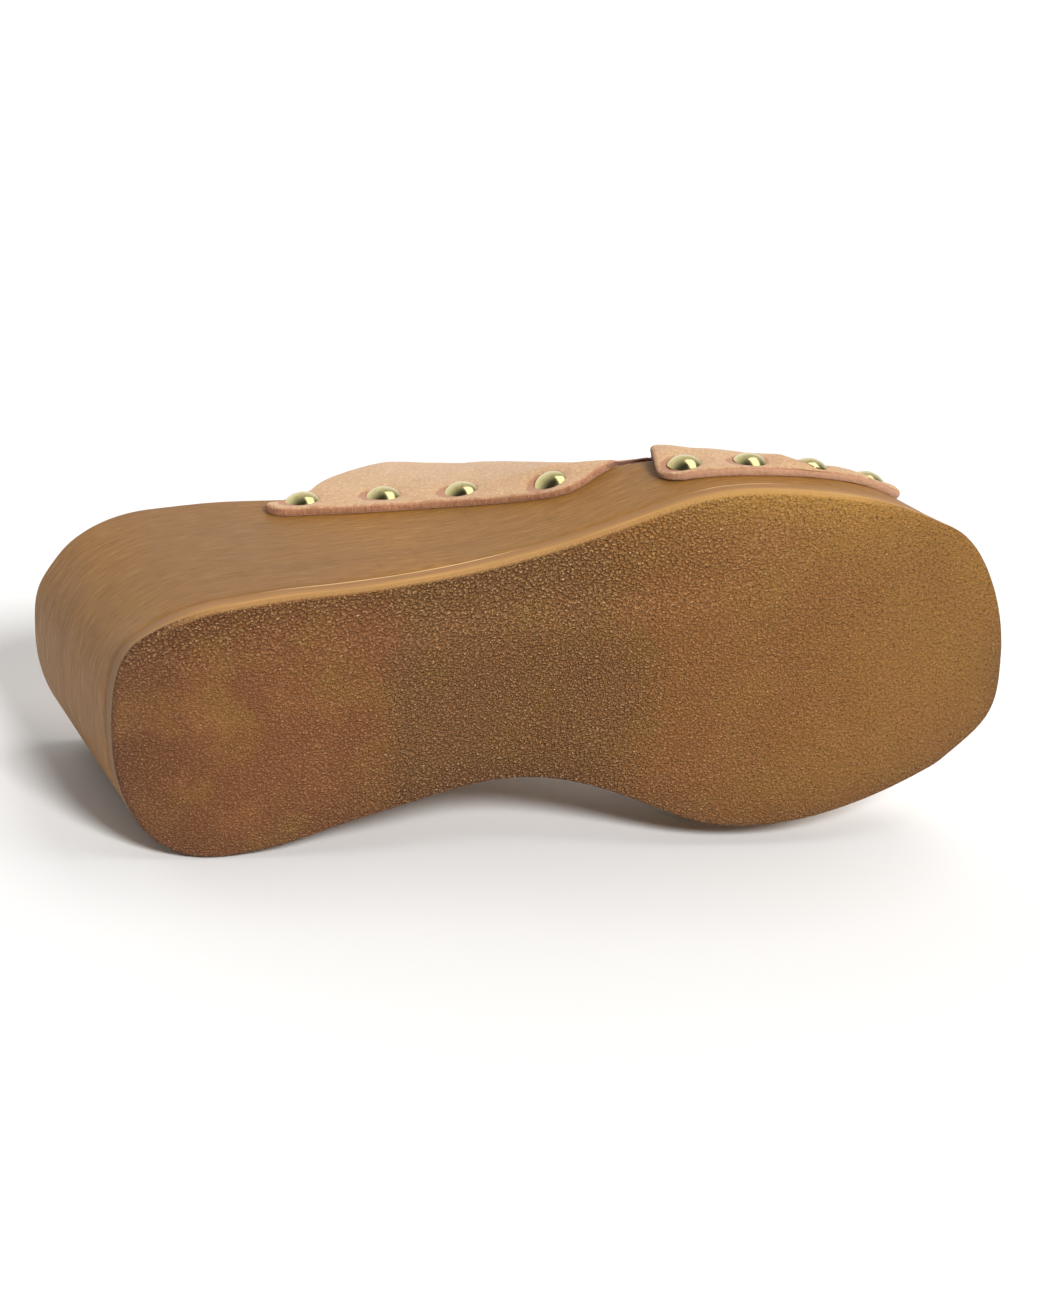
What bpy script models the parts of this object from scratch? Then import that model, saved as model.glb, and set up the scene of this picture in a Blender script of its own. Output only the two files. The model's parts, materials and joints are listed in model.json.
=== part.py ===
"""Wedge mule of the right foot: a one-piece wooden wedge on a rubber outsole, with two broad suede straps
tacked to its sides by domed brass studs. It is laid on its inner side, with the sole facing -Y.

The shoe is drawn upright in its own frame, in millimetres: x runs from the back of the heel to the toe,
+y is the inner (medial) side, -y the outer (lateral) side, and z = 0 is the plane that heel and ball tread on.
"""

import math
from collections import namedtuple

import bmesh
import bpy
from mathutils import Matrix, Vector

MM = 0.001

# ---------------------------------------------------------------- driving sizes, millimetres
SOLE_LENGTH = 256.0        # outsole, heel to toe
HEEL_CAP, HEEL_SQUARENESS = 30.0, 2.48     # length and fullness of the heel's rounding
TOE_CAP, TOE_SQUARENESS = 22.0, 2.6        # the same for the broad toe
HEEL_SKEW, HEEL_SKEW_LENGTH = -4.0, 14.0   # how far the tip of the heel lies off the shoe's axis, and from where
TOE_SKEW, TOE_SKEW_LENGTH = 9.5, 18.0      # the same for the toe
HEEL_OVERHANG = 6.0        # the heel's back leans out by this much from tread to rim
HEEL_INNER_DRAFT = 3.6     # and its inner side leans in by this much
HEEL_LENGTH = 60.0         # both fade out towards the waist
TOE_DRAFT, TOE_DRAFT_FROM = 0.26, 212.0    # the toe's walls draw in by this share from tread to rim
ARCH_FROM, ARCH_TO = 70.0, 165.0   # the sole is hollowed between heel and ball
ARCH_RISE = 4.0
SPRING_FROM = 188.0        # the toe lifts from here on
SPRING_RISE = 9.6
OUTSOLE_THICKNESS = 6.3
SOLE_EDGE_RADIUS = 1.4
HEEL_DISH, BALL_DISH = 4.2, 2.2    # hollow of the footbed
INSOLE_THICKNESS = 1.8
INSOLE_INSET = 5.0         # the sock's edge inside the wedge's rounded top edge
INSOLE_HEEL_GAP, INSOLE_TOE_GAP = 8.0, 19.0
SHOULDER_INSET = 0.65      # width of that rounding against its height
STRAP_THICKNESS = 2.2
STRAP_CORNER = 5.5         # rounding of the straps' lower corners
STRAP_FUSE = 1.0           # depth to which the front strap is bedded into the rear one where they cross
STUD_RADIUS, STUD_HEIGHT = 5.0, 2.4
STUD_ABOVE_EDGE = 5.9      # stud centres above the straps' lower edge
GAP = 0.3                  # clearance between touching pieces

# Sections of the last. lateral and medial are the half widths of the tread before heel and toe are rounded off,
# rim is the height of the wedge's top edge and shoulder the rounding of that edge, low the height of the straps'
# lower edge, crown the height of the foot above the rim, fullness the exponent of the arched section
# (2 is an ellipse), and lean the share by which that section draws in towards the crown.
Section = namedtuple("Section", "x lateral medial rim shoulder low crown fullness lean")
LAST = [
    Section(0.0, 35.0, 35.4, 75.0, 2.0, 60.5, 70.0, 2.2, 0.05),
    Section(30.0, 35.3, 35.7, 74.6, 2.0, 58.5, 70.0, 2.2, 0.05),
    Section(45.0, 36.4, 34.3, 72.5, 2.0, 57.0, 70.0, 2.2, 0.05),
    Section(60.0, 36.7, 30.7, 69.4, 2.0, 55.3, 69.0, 2.2, 0.05),
    Section(80.0, 37.4, 26.6, 64.4, 2.0, 51.0, 68.0, 2.2, 0.08),
    Section(100.0, 38.3, 24.3, 58.4, 2.0, 47.3, 66.0, 2.2, 0.13),
    Section(120.0, 41.3, 25.8, 51.0, 2.0, 38.9, 62.0, 2.2, 0.22),
    Section(140.0, 47.1, 32.2, 42.4, 2.0, 26.6, 56.0, 2.2, 0.46),
    Section(150.0, 50.5, 36.8, 37.3, 2.0, 20.0, 52.8, 2.2, 0.62),
    Section(160.0, 53.1, 41.4, 32.2, 2.2, 14.2, 49.5, 2.1, 0.42),
    Section(180.0, 53.4, 45.8, 26.0, 4.5, 12.1, 43.5, 2.1, 0.34),
    Section(200.0, 50.1, 44.8, 26.6, 13.0, 13.6, 37.5, 2.1, 0.36),
    Section(220.0, 43.5, 40.6, 29.0, 15.0, 16.6, 32.0, 2.1, 0.32),
    Section(240.0, 33.8, 34.4, 31.8, 15.5, 21.0, 27.0, 2.1, 0.36),
    Section(256.0, 28.0, 28.3, 33.8, 15.0, 21.0, 24.0, 2.1, 0.36),
]

# Edges of the two straps, from the lower edge on the outer side (girth -1) over the crown (0); the inner side mirrors it.
# rear and front are the x of the strap's two edges there.
StrapFold = namedtuple("StrapFold", "girth rear front")
REAR_STRAP = [
    StrapFold(-1.00, 55.4, 131.8),
    StrapFold(-0.95, 56.0, 136.6),
    StrapFold(-0.92, 59.0, 139.8),
    StrapFold(-0.89, 63.0, 143.2),
    StrapFold(-0.84, 70.0, 148.8),
    StrapFold(-0.80, 74.2, 154.5),
    StrapFold(-0.74, 81.5, 160.0),
    StrapFold(-0.62, 94.0, 165.0),
    StrapFold(-0.30, 118.0, 171.0),
    StrapFold(0.00, 127.0, 174.0),
]
FRONT_STRAP = [
    StrapFold(-1.00, 153.5, 227.0),
    StrapFold(-0.84, 157.0, 223.5),
    StrapFold(-0.70, 162.5, 219.0),
    StrapFold(-0.45, 163.5, 212.0),
    StrapFold(0.00, 161.0, 206.0),
]
WALL_SHARE = 0.16          # share of the girth that lies flat on the wedge's side, at each end
CROSS_FROM, CROSS_TO = 176.0, 192.0    # the front strap comes down to the foot between these

# Studs along the lower edge of each strap: place along the shoe, and how much farther from the edge than the rest
Stud = namedtuple("Stud", "x raised")
REAR_STUDS = [Stud(66.5, 1.0), Stud(88.5, 2.0), Stud(108.8, 1.4), Stud(130.4, 1.0)]
FRONT_STUDS = [Stud(161.8, 0.6), Stud(180.0, 0.0), Stud(197.9, -0.9), Stud(217.0, 0.4)]

# ---------------------------------------------------------------- how finely the solids are faceted
STATIONS_HEEL, STATIONS_MID, STATIONS_TOE = 10, 22, 9
DECK_ACROSS = 8
SHOULDER_STEPS = 4
STRAP_ACROSS = 8
STRAP_LAP_ROWS = (0.0, 0.07, 0.18, 0.34, 0.6, 0.8)   # rows of the flat part, as shares of the lap
STRAP_ARCH_ROWS = 26
STUD_STEPS, STUD_RINGS = 14, 5


# ---------------------------------------------------------------- curves of the last
def spline(xs, ys):
    """Natural cubic spline through the points, as a function of x."""
    n = len(xs)
    h = [xs[i + 1] - xs[i] for i in range(n - 1)]
    diag, rhs, upper = [1.0] + [0.0] * (n - 1), [0.0] * n, [0.0] * n
    for i in range(1, n - 1):
        slope = (ys[i + 1] - ys[i]) / h[i] - (ys[i] - ys[i - 1]) / h[i - 1]
        diag[i] = 2 * (h[i - 1] + h[i]) - h[i - 1] * upper[i - 1]
        upper[i] = h[i] / diag[i]
        rhs[i] = (6 * slope - h[i - 1] * rhs[i - 1]) / diag[i]
    bend = [0.0] * n
    for i in range(n - 2, 0, -1):
        bend[i] = rhs[i] - upper[i] * bend[i + 1]

    def at(x):
        i = 0
        while i < n - 2 and x > xs[i + 1]:
            i += 1
        a, b = (xs[i + 1] - x) / h[i], (x - xs[i]) / h[i]
        return (
            a * ys[i] + b * ys[i + 1]
            + ((a**3 - a) * bend[i] + (b**3 - b) * bend[i + 1]) * h[i] ** 2 / 6
        )

    return at


def monotone(xs, ys):
    """Cubic through the points that turns only where they do, as a function of x."""
    n = len(xs)
    rate = [(ys[i + 1] - ys[i]) / (xs[i + 1] - xs[i]) for i in range(n - 1)]
    slopes = [rate[0]]
    for left, right in zip(rate[:-1], rate[1:]):
        slopes.append(2 * left * right / (left + right) if left * right > 0 else 0.0)
    slopes.append(rate[-1])

    def at(x):
        i = 0
        while i < n - 2 and x > xs[i + 1]:
            i += 1
        h = xs[i + 1] - xs[i]
        t = (x - xs[i]) / h
        return (
            (1 + 2 * t) * (1 - t) ** 2 * ys[i] + t * (1 - t) ** 2 * h * slopes[i]
            + t * t * (3 - 2 * t) * ys[i + 1] + t * t * (t - 1) * h * slopes[i + 1]
        )

    return at


def smooth(t):
    t = max(0.0, min(1.0, t))
    return t * t * (3 - 2 * t)


def column(name, through):
    return through([row.x for row in LAST], [getattr(row, name) for row in LAST])


lateral, medial, rim, crown = (column(n, spline) for n in ("lateral", "medial", "rim", "crown"))
shoulder, low, fullness, lean = (column(n, monotone) for n in ("shoulder", "low", "fullness", "lean"))


def end_rounding(x):
    """Share of the half width that is left where heel and toe round off."""
    share = 1.0
    if x < HEEL_CAP:
        share *= max(0.0, 1 - (1 - x / HEEL_CAP) ** 2) ** (1 / HEEL_SQUARENESS)
    toe = SOLE_LENGTH - x
    if toe < TOE_CAP:
        share *= max(0.0, 1 - (1 - toe / TOE_CAP) ** 2) ** (1 / TOE_SQUARENESS)
    return share


def skew(x):
    """Sideways shift of the outline towards the tips of heel and toe."""
    heel, toe = 1 - x / HEEL_SKEW_LENGTH, 1 - (SOLE_LENGTH - x) / TOE_SKEW_LENGTH
    return HEEL_SKEW * max(0.0, heel) ** 2 + TOE_SKEW * max(0.0, toe) ** 2


def tread_height(x):
    """Height of the sole's underside: flat under heel and ball, hollow between them, sprung at the toe."""
    z = 0.0
    if ARCH_FROM < x < ARCH_TO:
        z += ARCH_RISE * math.sin(math.pi * (x - ARCH_FROM) / (ARCH_TO - ARCH_FROM)) ** 2
    if x > SPRING_FROM:
        z += SPRING_RISE * ((x - SPRING_FROM) / (SOLE_LENGTH - SPRING_FROM)) ** 2
    return z


def toe_draft(x, z):
    """Share by which the wall has drawn in at height z, towards the toe."""
    rise = (z - tread_height(x)) / (rim(x) - tread_height(x))
    return TOE_DRAFT * max(0.0, rise) * smooth((x - TOE_DRAFT_FROM) / (SOLE_LENGTH - TOE_DRAFT_FROM))


def raked(x, y, z):
    """Point of the upright outline, moved as the walls of heel and toe lean at height z."""
    share = z / rim(0.0) * smooth(1 - x / HEEL_LENGTH)
    inwards = max(0.0, y - skew(x)) / medial(x)
    tip = max(0.0, 1 - (SOLE_LENGTH - x) / TOE_CAP)
    draft = toe_draft(x, z)
    return (
        x - HEEL_OVERHANG * share - draft * medial(x) * tip,
        y - HEEL_INNER_DRAFT * share * inwards - draft * (y - skew(x)),
        z,
    )


def side_y(x, side):
    """y of the sole's edge at x; side is -1 for the outer, +1 for the inner side."""
    return skew(x) + side * (lateral(x) if side < 0 else medial(x)) * end_rounding(x)


def side_slope(x, side):
    return (side_y(x + 0.2, side) - side_y(x - 0.2, side)) / 0.4


def wall_y(x, side, clear, z):
    """y of the wedge's side at height z, or of a surface that stands clear of it."""
    stand = side * clear * math.sqrt(1 + side_slope(x, side) ** 2)
    return skew(x) + (side_y(x, side) - skew(x)) * (1 - toe_draft(x, z)) + stand


def stations():
    """x of the sections, closer together where heel and toe round off."""
    heel = [HEEL_CAP * (1 - math.cos(math.pi / 2 * i / STATIONS_HEEL)) for i in range(STATIONS_HEEL)]
    toe = [
        SOLE_LENGTH - TOE_CAP * (1 - math.cos(math.pi / 2 * i / STATIONS_TOE))
        for i in range(STATIONS_TOE)
    ]
    middle = SOLE_LENGTH - TOE_CAP - HEEL_CAP
    mid = [HEEL_CAP + middle * i / STATIONS_MID for i in range(STATIONS_MID + 1)]
    # the flat spots under heel and ball begin and end exactly on a section
    for edge in (ARCH_FROM, ARCH_TO, SPRING_FROM):
        nearest = min(range(1, len(mid) - 1), key=lambda i: abs(mid[i] - edge))
        mid[nearest] = edge
    return heel + mid + toe[::-1]


XS = stations()


def outline(grow):
    """Closed loop of the sole's edge, moved outwards by grow(x): heel tip, outer side, toe tip, inner side."""
    inner = XS[1:-1]
    loop = [(XS[0], skew(XS[0]))]
    loop += [(x, side_y(x, -1)) for x in inner]
    loop += [(XS[-1], skew(XS[-1]))]
    loop += [(x, side_y(x, 1)) for x in reversed(inner)]
    grown = []
    for i, (x, y) in enumerate(loop):
        (xa, ya), (xb, yb) = loop[i - 1], loop[(i + 1) % len(loop)]
        tx, ty = xb - xa, yb - ya
        out = grow(x) / math.hypot(tx, ty)
        grown.append((x + out * ty, y - out * tx))
    return grown


# ---------------------------------------------------------------- building solids
def link(name, mesh, material, parent):
    obj = bpy.data.objects.new(name, mesh)
    SHOE.objects.link(obj)
    obj.data.materials.clear()
    obj.data.materials.append(material)
    obj.parent = parent
    return obj


def mesh_of(name, verts, faces):
    """Mesh from points in millimetres, with its faces turned outwards."""
    mesh = bpy.data.meshes.new(name)
    mesh.from_pydata([(x * MM, y * MM, z * MM) for x, y, z in verts], [], faces)
    bm = bmesh.new()
    bm.from_mesh(mesh)
    bmesh.ops.recalc_face_normals(bm, faces=bm.faces[:])
    bm.to_mesh(mesh)
    bm.free()
    mesh.shade_smooth()
    mesh.set_sharp_from_angle(angle=math.radians(40))
    return mesh


def lofted(name, levels, under, over, across):
    """Solid between stacked loops. levels are loops of (x, y, z); under and over give z on its two faces."""
    count, half = len(levels[0]), len(XS) - 1
    verts = [p for loop in levels for p in loop]
    faces = []
    for k in range(len(levels) - 1):
        for i in range(count):
            j = (i + 1) % count
            faces.append((k * count + i, k * count + j, (k + 1) * count + j, (k + 1) * count + i))

    def deck(first, height):
        """Closes a loop with rungs from the outer to the inner side, each in `across` parts."""
        rungs = [[first]]
        for i in range(1, half):
            a, b = first + i, first + count - i
            (xa, ya, za), (xb, yb, zb) = verts[a], verts[b]
            row = [a]
            for m in range(1, across):
                t = m / across
                x, y = xa + (xb - xa) * t, ya + (yb - ya) * t
                edge = za + (zb - za) * t
                row.append(len(verts))
                verts.append((x, y, height(x, 2 * t - 1, edge)))
            rungs.append(row + [b])
        rungs.append([first + half])
        for lower, upper in zip(rungs[:-1], rungs[1:]):
            if len(lower) == 1:
                faces.extend((lower[0], upper[m], upper[m + 1]) for m in range(across))
            elif len(upper) == 1:
                faces.extend((lower[m], upper[0], lower[m + 1]) for m in range(across))
            else:
                faces.extend(
                    (lower[m], upper[m], upper[m + 1], lower[m + 1]) for m in range(across)
                )

    deck(0, under)
    deck((len(levels) - 1) * count, over)
    return mesh_of(name, verts, faces)


def level(grow, height):
    """Loop of the outline grown by grow(x), at height(x)."""
    loop = []
    for x, y in outline(grow):
        along = min(SOLE_LENGTH, max(0.0, x))
        moved = raked(along, y, height(along))
        loop.append((moved[0] + x - along, moved[1], moved[2]))
    return loop


def footbed_dish(x, across):
    """Depth of the footbed below its edge; across runs from -1 at the outer to +1 at the inner side."""
    depth = HEEL_DISH + (BALL_DISH - HEEL_DISH) * smooth((x - 70) / 90)
    return depth * (1 - across * across) ** 1.2


def make_outsole(material, parent):
    r = SOLE_EDGE_RADIUS
    levels = [
        level(lambda x, grow=grow: grow, lambda x, up=up: tread_height(x) + up)
        for grow, up in ((-r, 0.0), (-0.3 * r, 0.3 * r), (0.0, r), (0.0, OUTSOLE_THICKNESS))
    ]
    flat = lambda x, across, edge: edge
    return link("outsole", lofted("outsole", levels, flat, flat, 2), material, parent)


def make_wedge(material, parent):
    underside = lambda x: tread_height(x) + OUTSOLE_THICKNESS + GAP
    levels = []
    for share in (0.0, 0.4, 0.75):
        levels.append(
            level(lambda x: 0.0, lambda x: underside(x) + (rim(x) - shoulder(x) - underside(x)) * share)
        )
    for step in range(SHOULDER_STEPS + 1):  # the rounded top edge
        turn = math.pi / 2 * step / SHOULDER_STEPS
        levels.append(
            level(
                lambda x: -SHOULDER_INSET * shoulder(x) * (1 - math.cos(turn)),
                lambda x: rim(x) - shoulder(x) * (1 - math.sin(turn)),
            )
        )
    flat = lambda x, across, edge: edge
    dished = lambda x, across, edge: edge - footbed_dish(x, across)
    return link("wedge_body", lofted("wedge_body", levels, flat, dished, DECK_ACROSS), material, parent)


def make_insole(material, parent):
    """Thin leather sock that lies in the dish of the footbed, set in from the wedge's rounded edge."""

    def bed(x, y):
        """Height of the footbed at a point of the upright outline."""
        along = min(max(x, 1.0), SOLE_LENGTH - 1.0)
        outer, inner = (side_y(along, side) - side * SHOULDER_INSET * shoulder(along) for side in (-1, 1))
        across = max(-1.0, min(1.0, (2 * y - outer - inner) / (inner - outer)))
        return rim(along) - footbed_dish(along, across)

    def drawn_in(turn_in):
        """The sole's edge, drawn in towards its middle."""
        length = SOLE_LENGTH - INSOLE_HEEL_GAP - INSOLE_TOE_GAP - 2 * turn_in
        for x, y in outline(lambda x: 0.0):
            inset = SHOULDER_INSET * shoulder(x) + INSOLE_INSET + turn_in
            share = 1 - inset / (lateral(x) if y < skew(x) else medial(x))
            yield INSOLE_HEEL_GAP + turn_in + x / SOLE_LENGTH * length, skew(x) + (y - skew(x)) * share

    under = GAP + 0.2
    over = under + INSOLE_THICKNESS
    levels = []
    for up, turn_in in ((under, 0.0), (over - 0.5, 0.0), (over, 0.5)):
        levels.append([(x, y, bed(x, y) + up) for x, y in drawn_in(turn_in)])
    keep = lambda x, across, edge: edge
    mesh = lofted("insole", levels, keep, keep, DECK_ACROSS)
    rim_points = 3 * len(levels[0])
    upper_face = rim_points + (len(XS) - 2) * (DECK_ACROSS - 1)
    for v in mesh.vertices:
        x, y, z = (c / MM for c in v.co)
        if v.index >= rim_points:  # the inner points of both faces lie in the dish
            z = bed(x, y) + (under if v.index < upper_face else over)
        rake = raked(max(0.0, x), y, rim(0.0))
        v.co = Vector((rake[0], rake[1], z)) * MM
    return link("insole", mesh, material, parent)


# ---------------------------------------------------------------- straps
def girth_point(x, girth, clear):
    """Point of the foot's skin at x, standing clear of it. girth runs from -1 (lower edge, outer side) to +1."""
    side = -1 if girth < 0 else 1
    knee = 1 - WALL_SHARE
    base = max(rim(x) - shoulder(x) + 2.0, low(x) + 4.5)  # from here the strap draws in
    if abs(girth) >= knee:
        z = base + (low(x) - base) * (abs(girth) - knee) / WALL_SHARE
        return Vector((x, wall_y(x, side, clear, z), z))
    outer, inner = wall_y(x, -1, clear, base), wall_y(x, 1, clear, base)
    turn = math.pi / 2 * girth / knee
    power = 2 / fullness(x)
    rise = abs(math.cos(turn)) ** power
    spread = side * abs(math.sin(turn)) ** power * (1 - lean(x) * rise)
    y = (outer + inner) / 2 + (inner - outer) / 2 * spread
    return Vector((x, y, base + (rim(x) + crown(x) + clear - base) * rise))


def strap_edges(folds):
    """Functions of girth for the x of the strap's rear and front edge, with its lower corners rounded."""
    girths = [fold.girth for fold in folds]
    rear, front = (monotone(girths, [getattr(f, n) for f in folds]) for n in ("rear", "front"))

    def at(girth):
        ends = []
        for edge, way in ((rear, 1), (front, -1)):
            x = edge(-abs(girth))
            inside = min(STRAP_CORNER, max(0.0, STRAP_CORNER - (girth_point(x, girth, 0.0).z - low(x))))
            ends.append(x + way * (STRAP_CORNER - math.sqrt(STRAP_CORNER**2 - inside**2)))
        return ends

    return at


def strap_rows():
    """Girths of the rows of a strap's surface: close together where it turns the corner over the rim."""
    knee = 1 - WALL_SHARE
    flat = [1 - WALL_SHARE * share for share in STRAP_LAP_ROWS]
    arch = [knee * math.sin(math.pi / 2 * (2 * i / STRAP_ARCH_ROWS - 1)) for i in range(STRAP_ARCH_ROWS + 1)]
    arch = [0.6 * a + 0.4 * knee * (2 * i / STRAP_ARCH_ROWS - 1) for i, a in enumerate(arch)]
    return [-g for g in flat] + arch + flat[::-1]


def crossing_lift(x, girth):
    """How far the front strap is raised where it passes over the rear one."""
    over_rear = smooth((CROSS_TO - x) / (CROSS_TO - CROSS_FROM))
    up_the_side = smooth((0.84 - abs(girth)) / 0.09)
    return (STRAP_THICKNESS - STRAP_FUSE) * over_rear * up_the_side


def make_strap(name, folds, lift, material, parent):
    """Open surface over the foot between the strap's edges, thickened outwards."""
    rows, edges = strap_rows(), strap_edges(folds)
    verts, faces = [], []
    for girth in rows:
        rear, front = edges(girth)
        for m in range(STRAP_ACROSS + 1):
            x = rear + (front - rear) * m / STRAP_ACROSS
            verts.append(tuple(girth_point(x, girth, GAP + lift(x, girth))))
    wide = STRAP_ACROSS + 1
    for k in range(len(rows) - 1):
        for m in range(STRAP_ACROSS):
            a = k * wide + m
            faces.append((a, a + 1, a + 1 + wide, a + wide))
    obj = link(name, mesh_of(name, verts, faces), material, parent)
    crown_face = max(obj.data.polygons, key=lambda p: p.center.z)
    if crown_face.normal.z < 0:
        obj.data.flip_normals()
    wall = obj.modifiers.new("wall", "SOLIDIFY")
    wall.thickness = STRAP_THICKNESS * MM
    wall.offset = 1.0
    wall.use_even_offset = True
    return obj


def make_upper(material, parent):
    """Both straps as one shell, joined where the front strap crosses over the rear one."""
    upper = make_strap("upper", REAR_STRAP, lambda x, g: 0.0, material, parent)
    front = make_strap("front_strap", FRONT_STRAP, crossing_lift, material, parent)
    SHOE.objects.unlink(front)
    HELPERS.objects.link(front)
    front.hide_render = True
    front.display_type = "WIRE"
    join = upper.modifiers.new("joined straps", "BOOLEAN")
    join.operation = "UNION"
    join.solver = "EXACT"
    join.object = front
    return upper


# ---------------------------------------------------------------- studs
def stud_mesh():
    """Profile of a domed stud, from its crown down to the rim and back to the axis."""
    sphere = (STUD_RADIUS**2 + STUD_HEIGHT**2) / (2 * STUD_HEIGHT)
    spread = math.asin(STUD_RADIUS / sphere)
    profile = []
    for i in range(STUD_RINGS + 1):
        a = spread * i / STUD_RINGS
        profile.append((sphere * math.sin(a), 0.0, STUD_HEIGHT - sphere * (1 - math.cos(a))))
    profile.append((0.0, 0.0, 0.0))
    mesh = bpy.data.meshes.new("stud")
    mesh.from_pydata(
        [(x * MM, y * MM, z * MM) for x, y, z in profile],
        [(i, i + 1) for i in range(len(profile) - 1)],
        [],
    )
    return mesh


def make_stud(name, mesh, place, side, material, parent):
    """Stud on the strap's outer face, its axis square to the wedge's side."""
    x = place.x
    clear = GAP + STRAP_THICKNESS + GAP + 0.1
    girth = 1.0
    while girth_point(x, side * girth, clear).z < low(x) + STUD_ABOVE_EDGE + place.raised:
        girth -= 0.001
    seat = girth_point(x, side * girth, clear)
    along = girth_point(x + 0.5, side * girth, clear) - girth_point(x - 0.5, side * girth, clear)
    up = girth_point(x, side * (girth - 0.01), clear) - girth_point(x, side * (girth + 0.01), clear)
    out = (side * up.cross(along)).normalized()
    obj = link(name, mesh, material, parent)
    obj.location = seat * MM
    obj.rotation_mode = "QUATERNION"
    obj.rotation_quaternion = out.to_track_quat("Z", "Y")
    turn = obj.modifiers.new("turned", "SCREW")
    turn.axis = "Z"
    turn.steps = turn.render_steps = STUD_STEPS
    turn.use_merge_vertices = True
    turn.merge_threshold = 0.00001
    return obj


# ---------------------------------------------------------------- lying on the inner side
def world_points(objects):
    graph = bpy.context.evaluated_depsgraph_get()
    points = []
    for obj in objects:
        shown = obj.evaluated_get(graph)
        mesh = shown.to_mesh()
        points += [shown.matrix_world @ v.co for v in mesh.vertices]
        shown.to_mesh_clear()
    return points


def resting_plane(points, weight):
    """Plane y = a + b x + c z that the shoe lies on: the face of its hull on the inner side under its weight."""
    far = 10.0
    tri = [Vector((-far, -1e3, -far)), Vector((far, -1e3, -far)), Vector((0.0, -1e3, far))]

    def plane(t):
        m = Matrix([(1.0, p.x, p.z) for p in t])
        return m.inverted() @ Vector([p.y for p in t])

    def holds(t):
        """Whether the weight's point lies inside the triangle, seen along y."""
        signs = []
        for i in range(3):
            a, b = t[i], t[(i + 1) % 3]
            signs.append((b.x - a.x) * (weight.z - a.z) - (b.z - a.z) * (weight.x - a.x))
        return all(s >= 0 for s in signs) or all(s <= 0 for s in signs)

    for _ in range(200):
        a, b, c = plane(tri)
        worst = max(points, key=lambda p: p.y - (a + b * p.x + c * p.z))
        if worst.y - (a + b * worst.x + c * worst.z) < 1e-9:
            break
        for i in range(3):
            trial = list(tri)
            trial[i] = worst
            if holds(trial):
                tri = trial
                break
    return plane(tri)


def lay_down(frame, objects, weight):
    """Turns the upright shoe so that its inner side lies on the floor, toe towards +X and sole towards -Y."""
    bpy.context.view_layer.update()
    a, b, c = resting_plane(world_points(objects), weight)
    down = Vector((-b, 1.0, -c)).normalized()
    ahead = (Vector((1, 0, 0)) - down * down.x).normalized()
    across = (-down).cross(ahead)
    turn = Matrix((ahead, across, -down))
    frame.matrix_world = turn.to_4x4()
    bpy.context.view_layer.update()
    points = world_points(objects)
    low = [min(p[i] for p in points) for i in range(3)]
    high = [max(p[i] for p in points) for i in range(3)]
    shift = Vector((-(low[0] + high[0]) / 2, -(low[1] + high[1]) / 2, -low[2]))
    frame.matrix_world = Matrix.Translation(shift) @ turn.to_4x4()


# ---------------------------------------------------------------- materials
def material(name, colour, roughness, metallic=0.0):
    made = bpy.data.materials.new(name)
    made.use_nodes = True
    shader = made.node_tree.nodes["Principled BSDF"]
    shader.inputs["Base Color"].default_value = (*colour, 1.0)
    shader.inputs["Roughness"].default_value = roughness
    shader.inputs["Metallic"].default_value = metallic
    made.diffuse_color = (*colour, 1.0)
    return made


def collection(name):
    made = bpy.data.collections.new(name)
    bpy.context.scene.collection.children.link(made)
    return made


for old in list(bpy.data.objects):
    bpy.data.objects.remove(old)
SHOE, HELPERS = collection("wedge_mule"), collection("helpers")

frame = bpy.data.objects.new("lying_frame", None)
SHOE.objects.link(frame)

rubber = material("pebbled_rubber", (0.27, 0.125, 0.045), 0.55)
wood = material("stained_wood", (0.38, 0.205, 0.095), 0.5)
leather = material("tan_leather", (0.46, 0.26, 0.13), 0.6)
suede = material("peach_suede", (0.72, 0.47, 0.30), 0.9)
brass = material("antique_brass", (0.60, 0.50, 0.26), 0.25, 1.0)

pieces = [
    make_outsole(rubber, frame),
    make_wedge(wood, frame),
    make_insole(leather, frame),
    make_upper(suede, frame),
]
stud = stud_mesh()
for side_name, side in (("outer", -1), ("inner", 1)):
    for strap_name, places in (("rear", REAR_STUDS), ("front", FRONT_STUDS)):
        for number, place in enumerate(places, 1):
            pieces.append(
                make_stud(f"stud_{side_name}_{strap_name}_{number}", stud, place, side, brass, frame)
            )

# the weight sits over the wedge, a little behind the middle of the shoe
lay_down(frame, pieces, Vector((0.108, 0.0, 0.032)))
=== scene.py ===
"""Looks of the wedge mule: smooth wooden wedge, pebbled rubber outsole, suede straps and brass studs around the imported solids.

Shapes are worked out upright in the shoe's own frame, in millimetres (x heel to toe, +y inner side, z up from the
tread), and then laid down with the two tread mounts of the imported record.
"""

import json
import math
from collections import namedtuple

import bmesh
import bpy
import numpy as np
from mathutils import Matrix, Vector, kdtree


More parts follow.
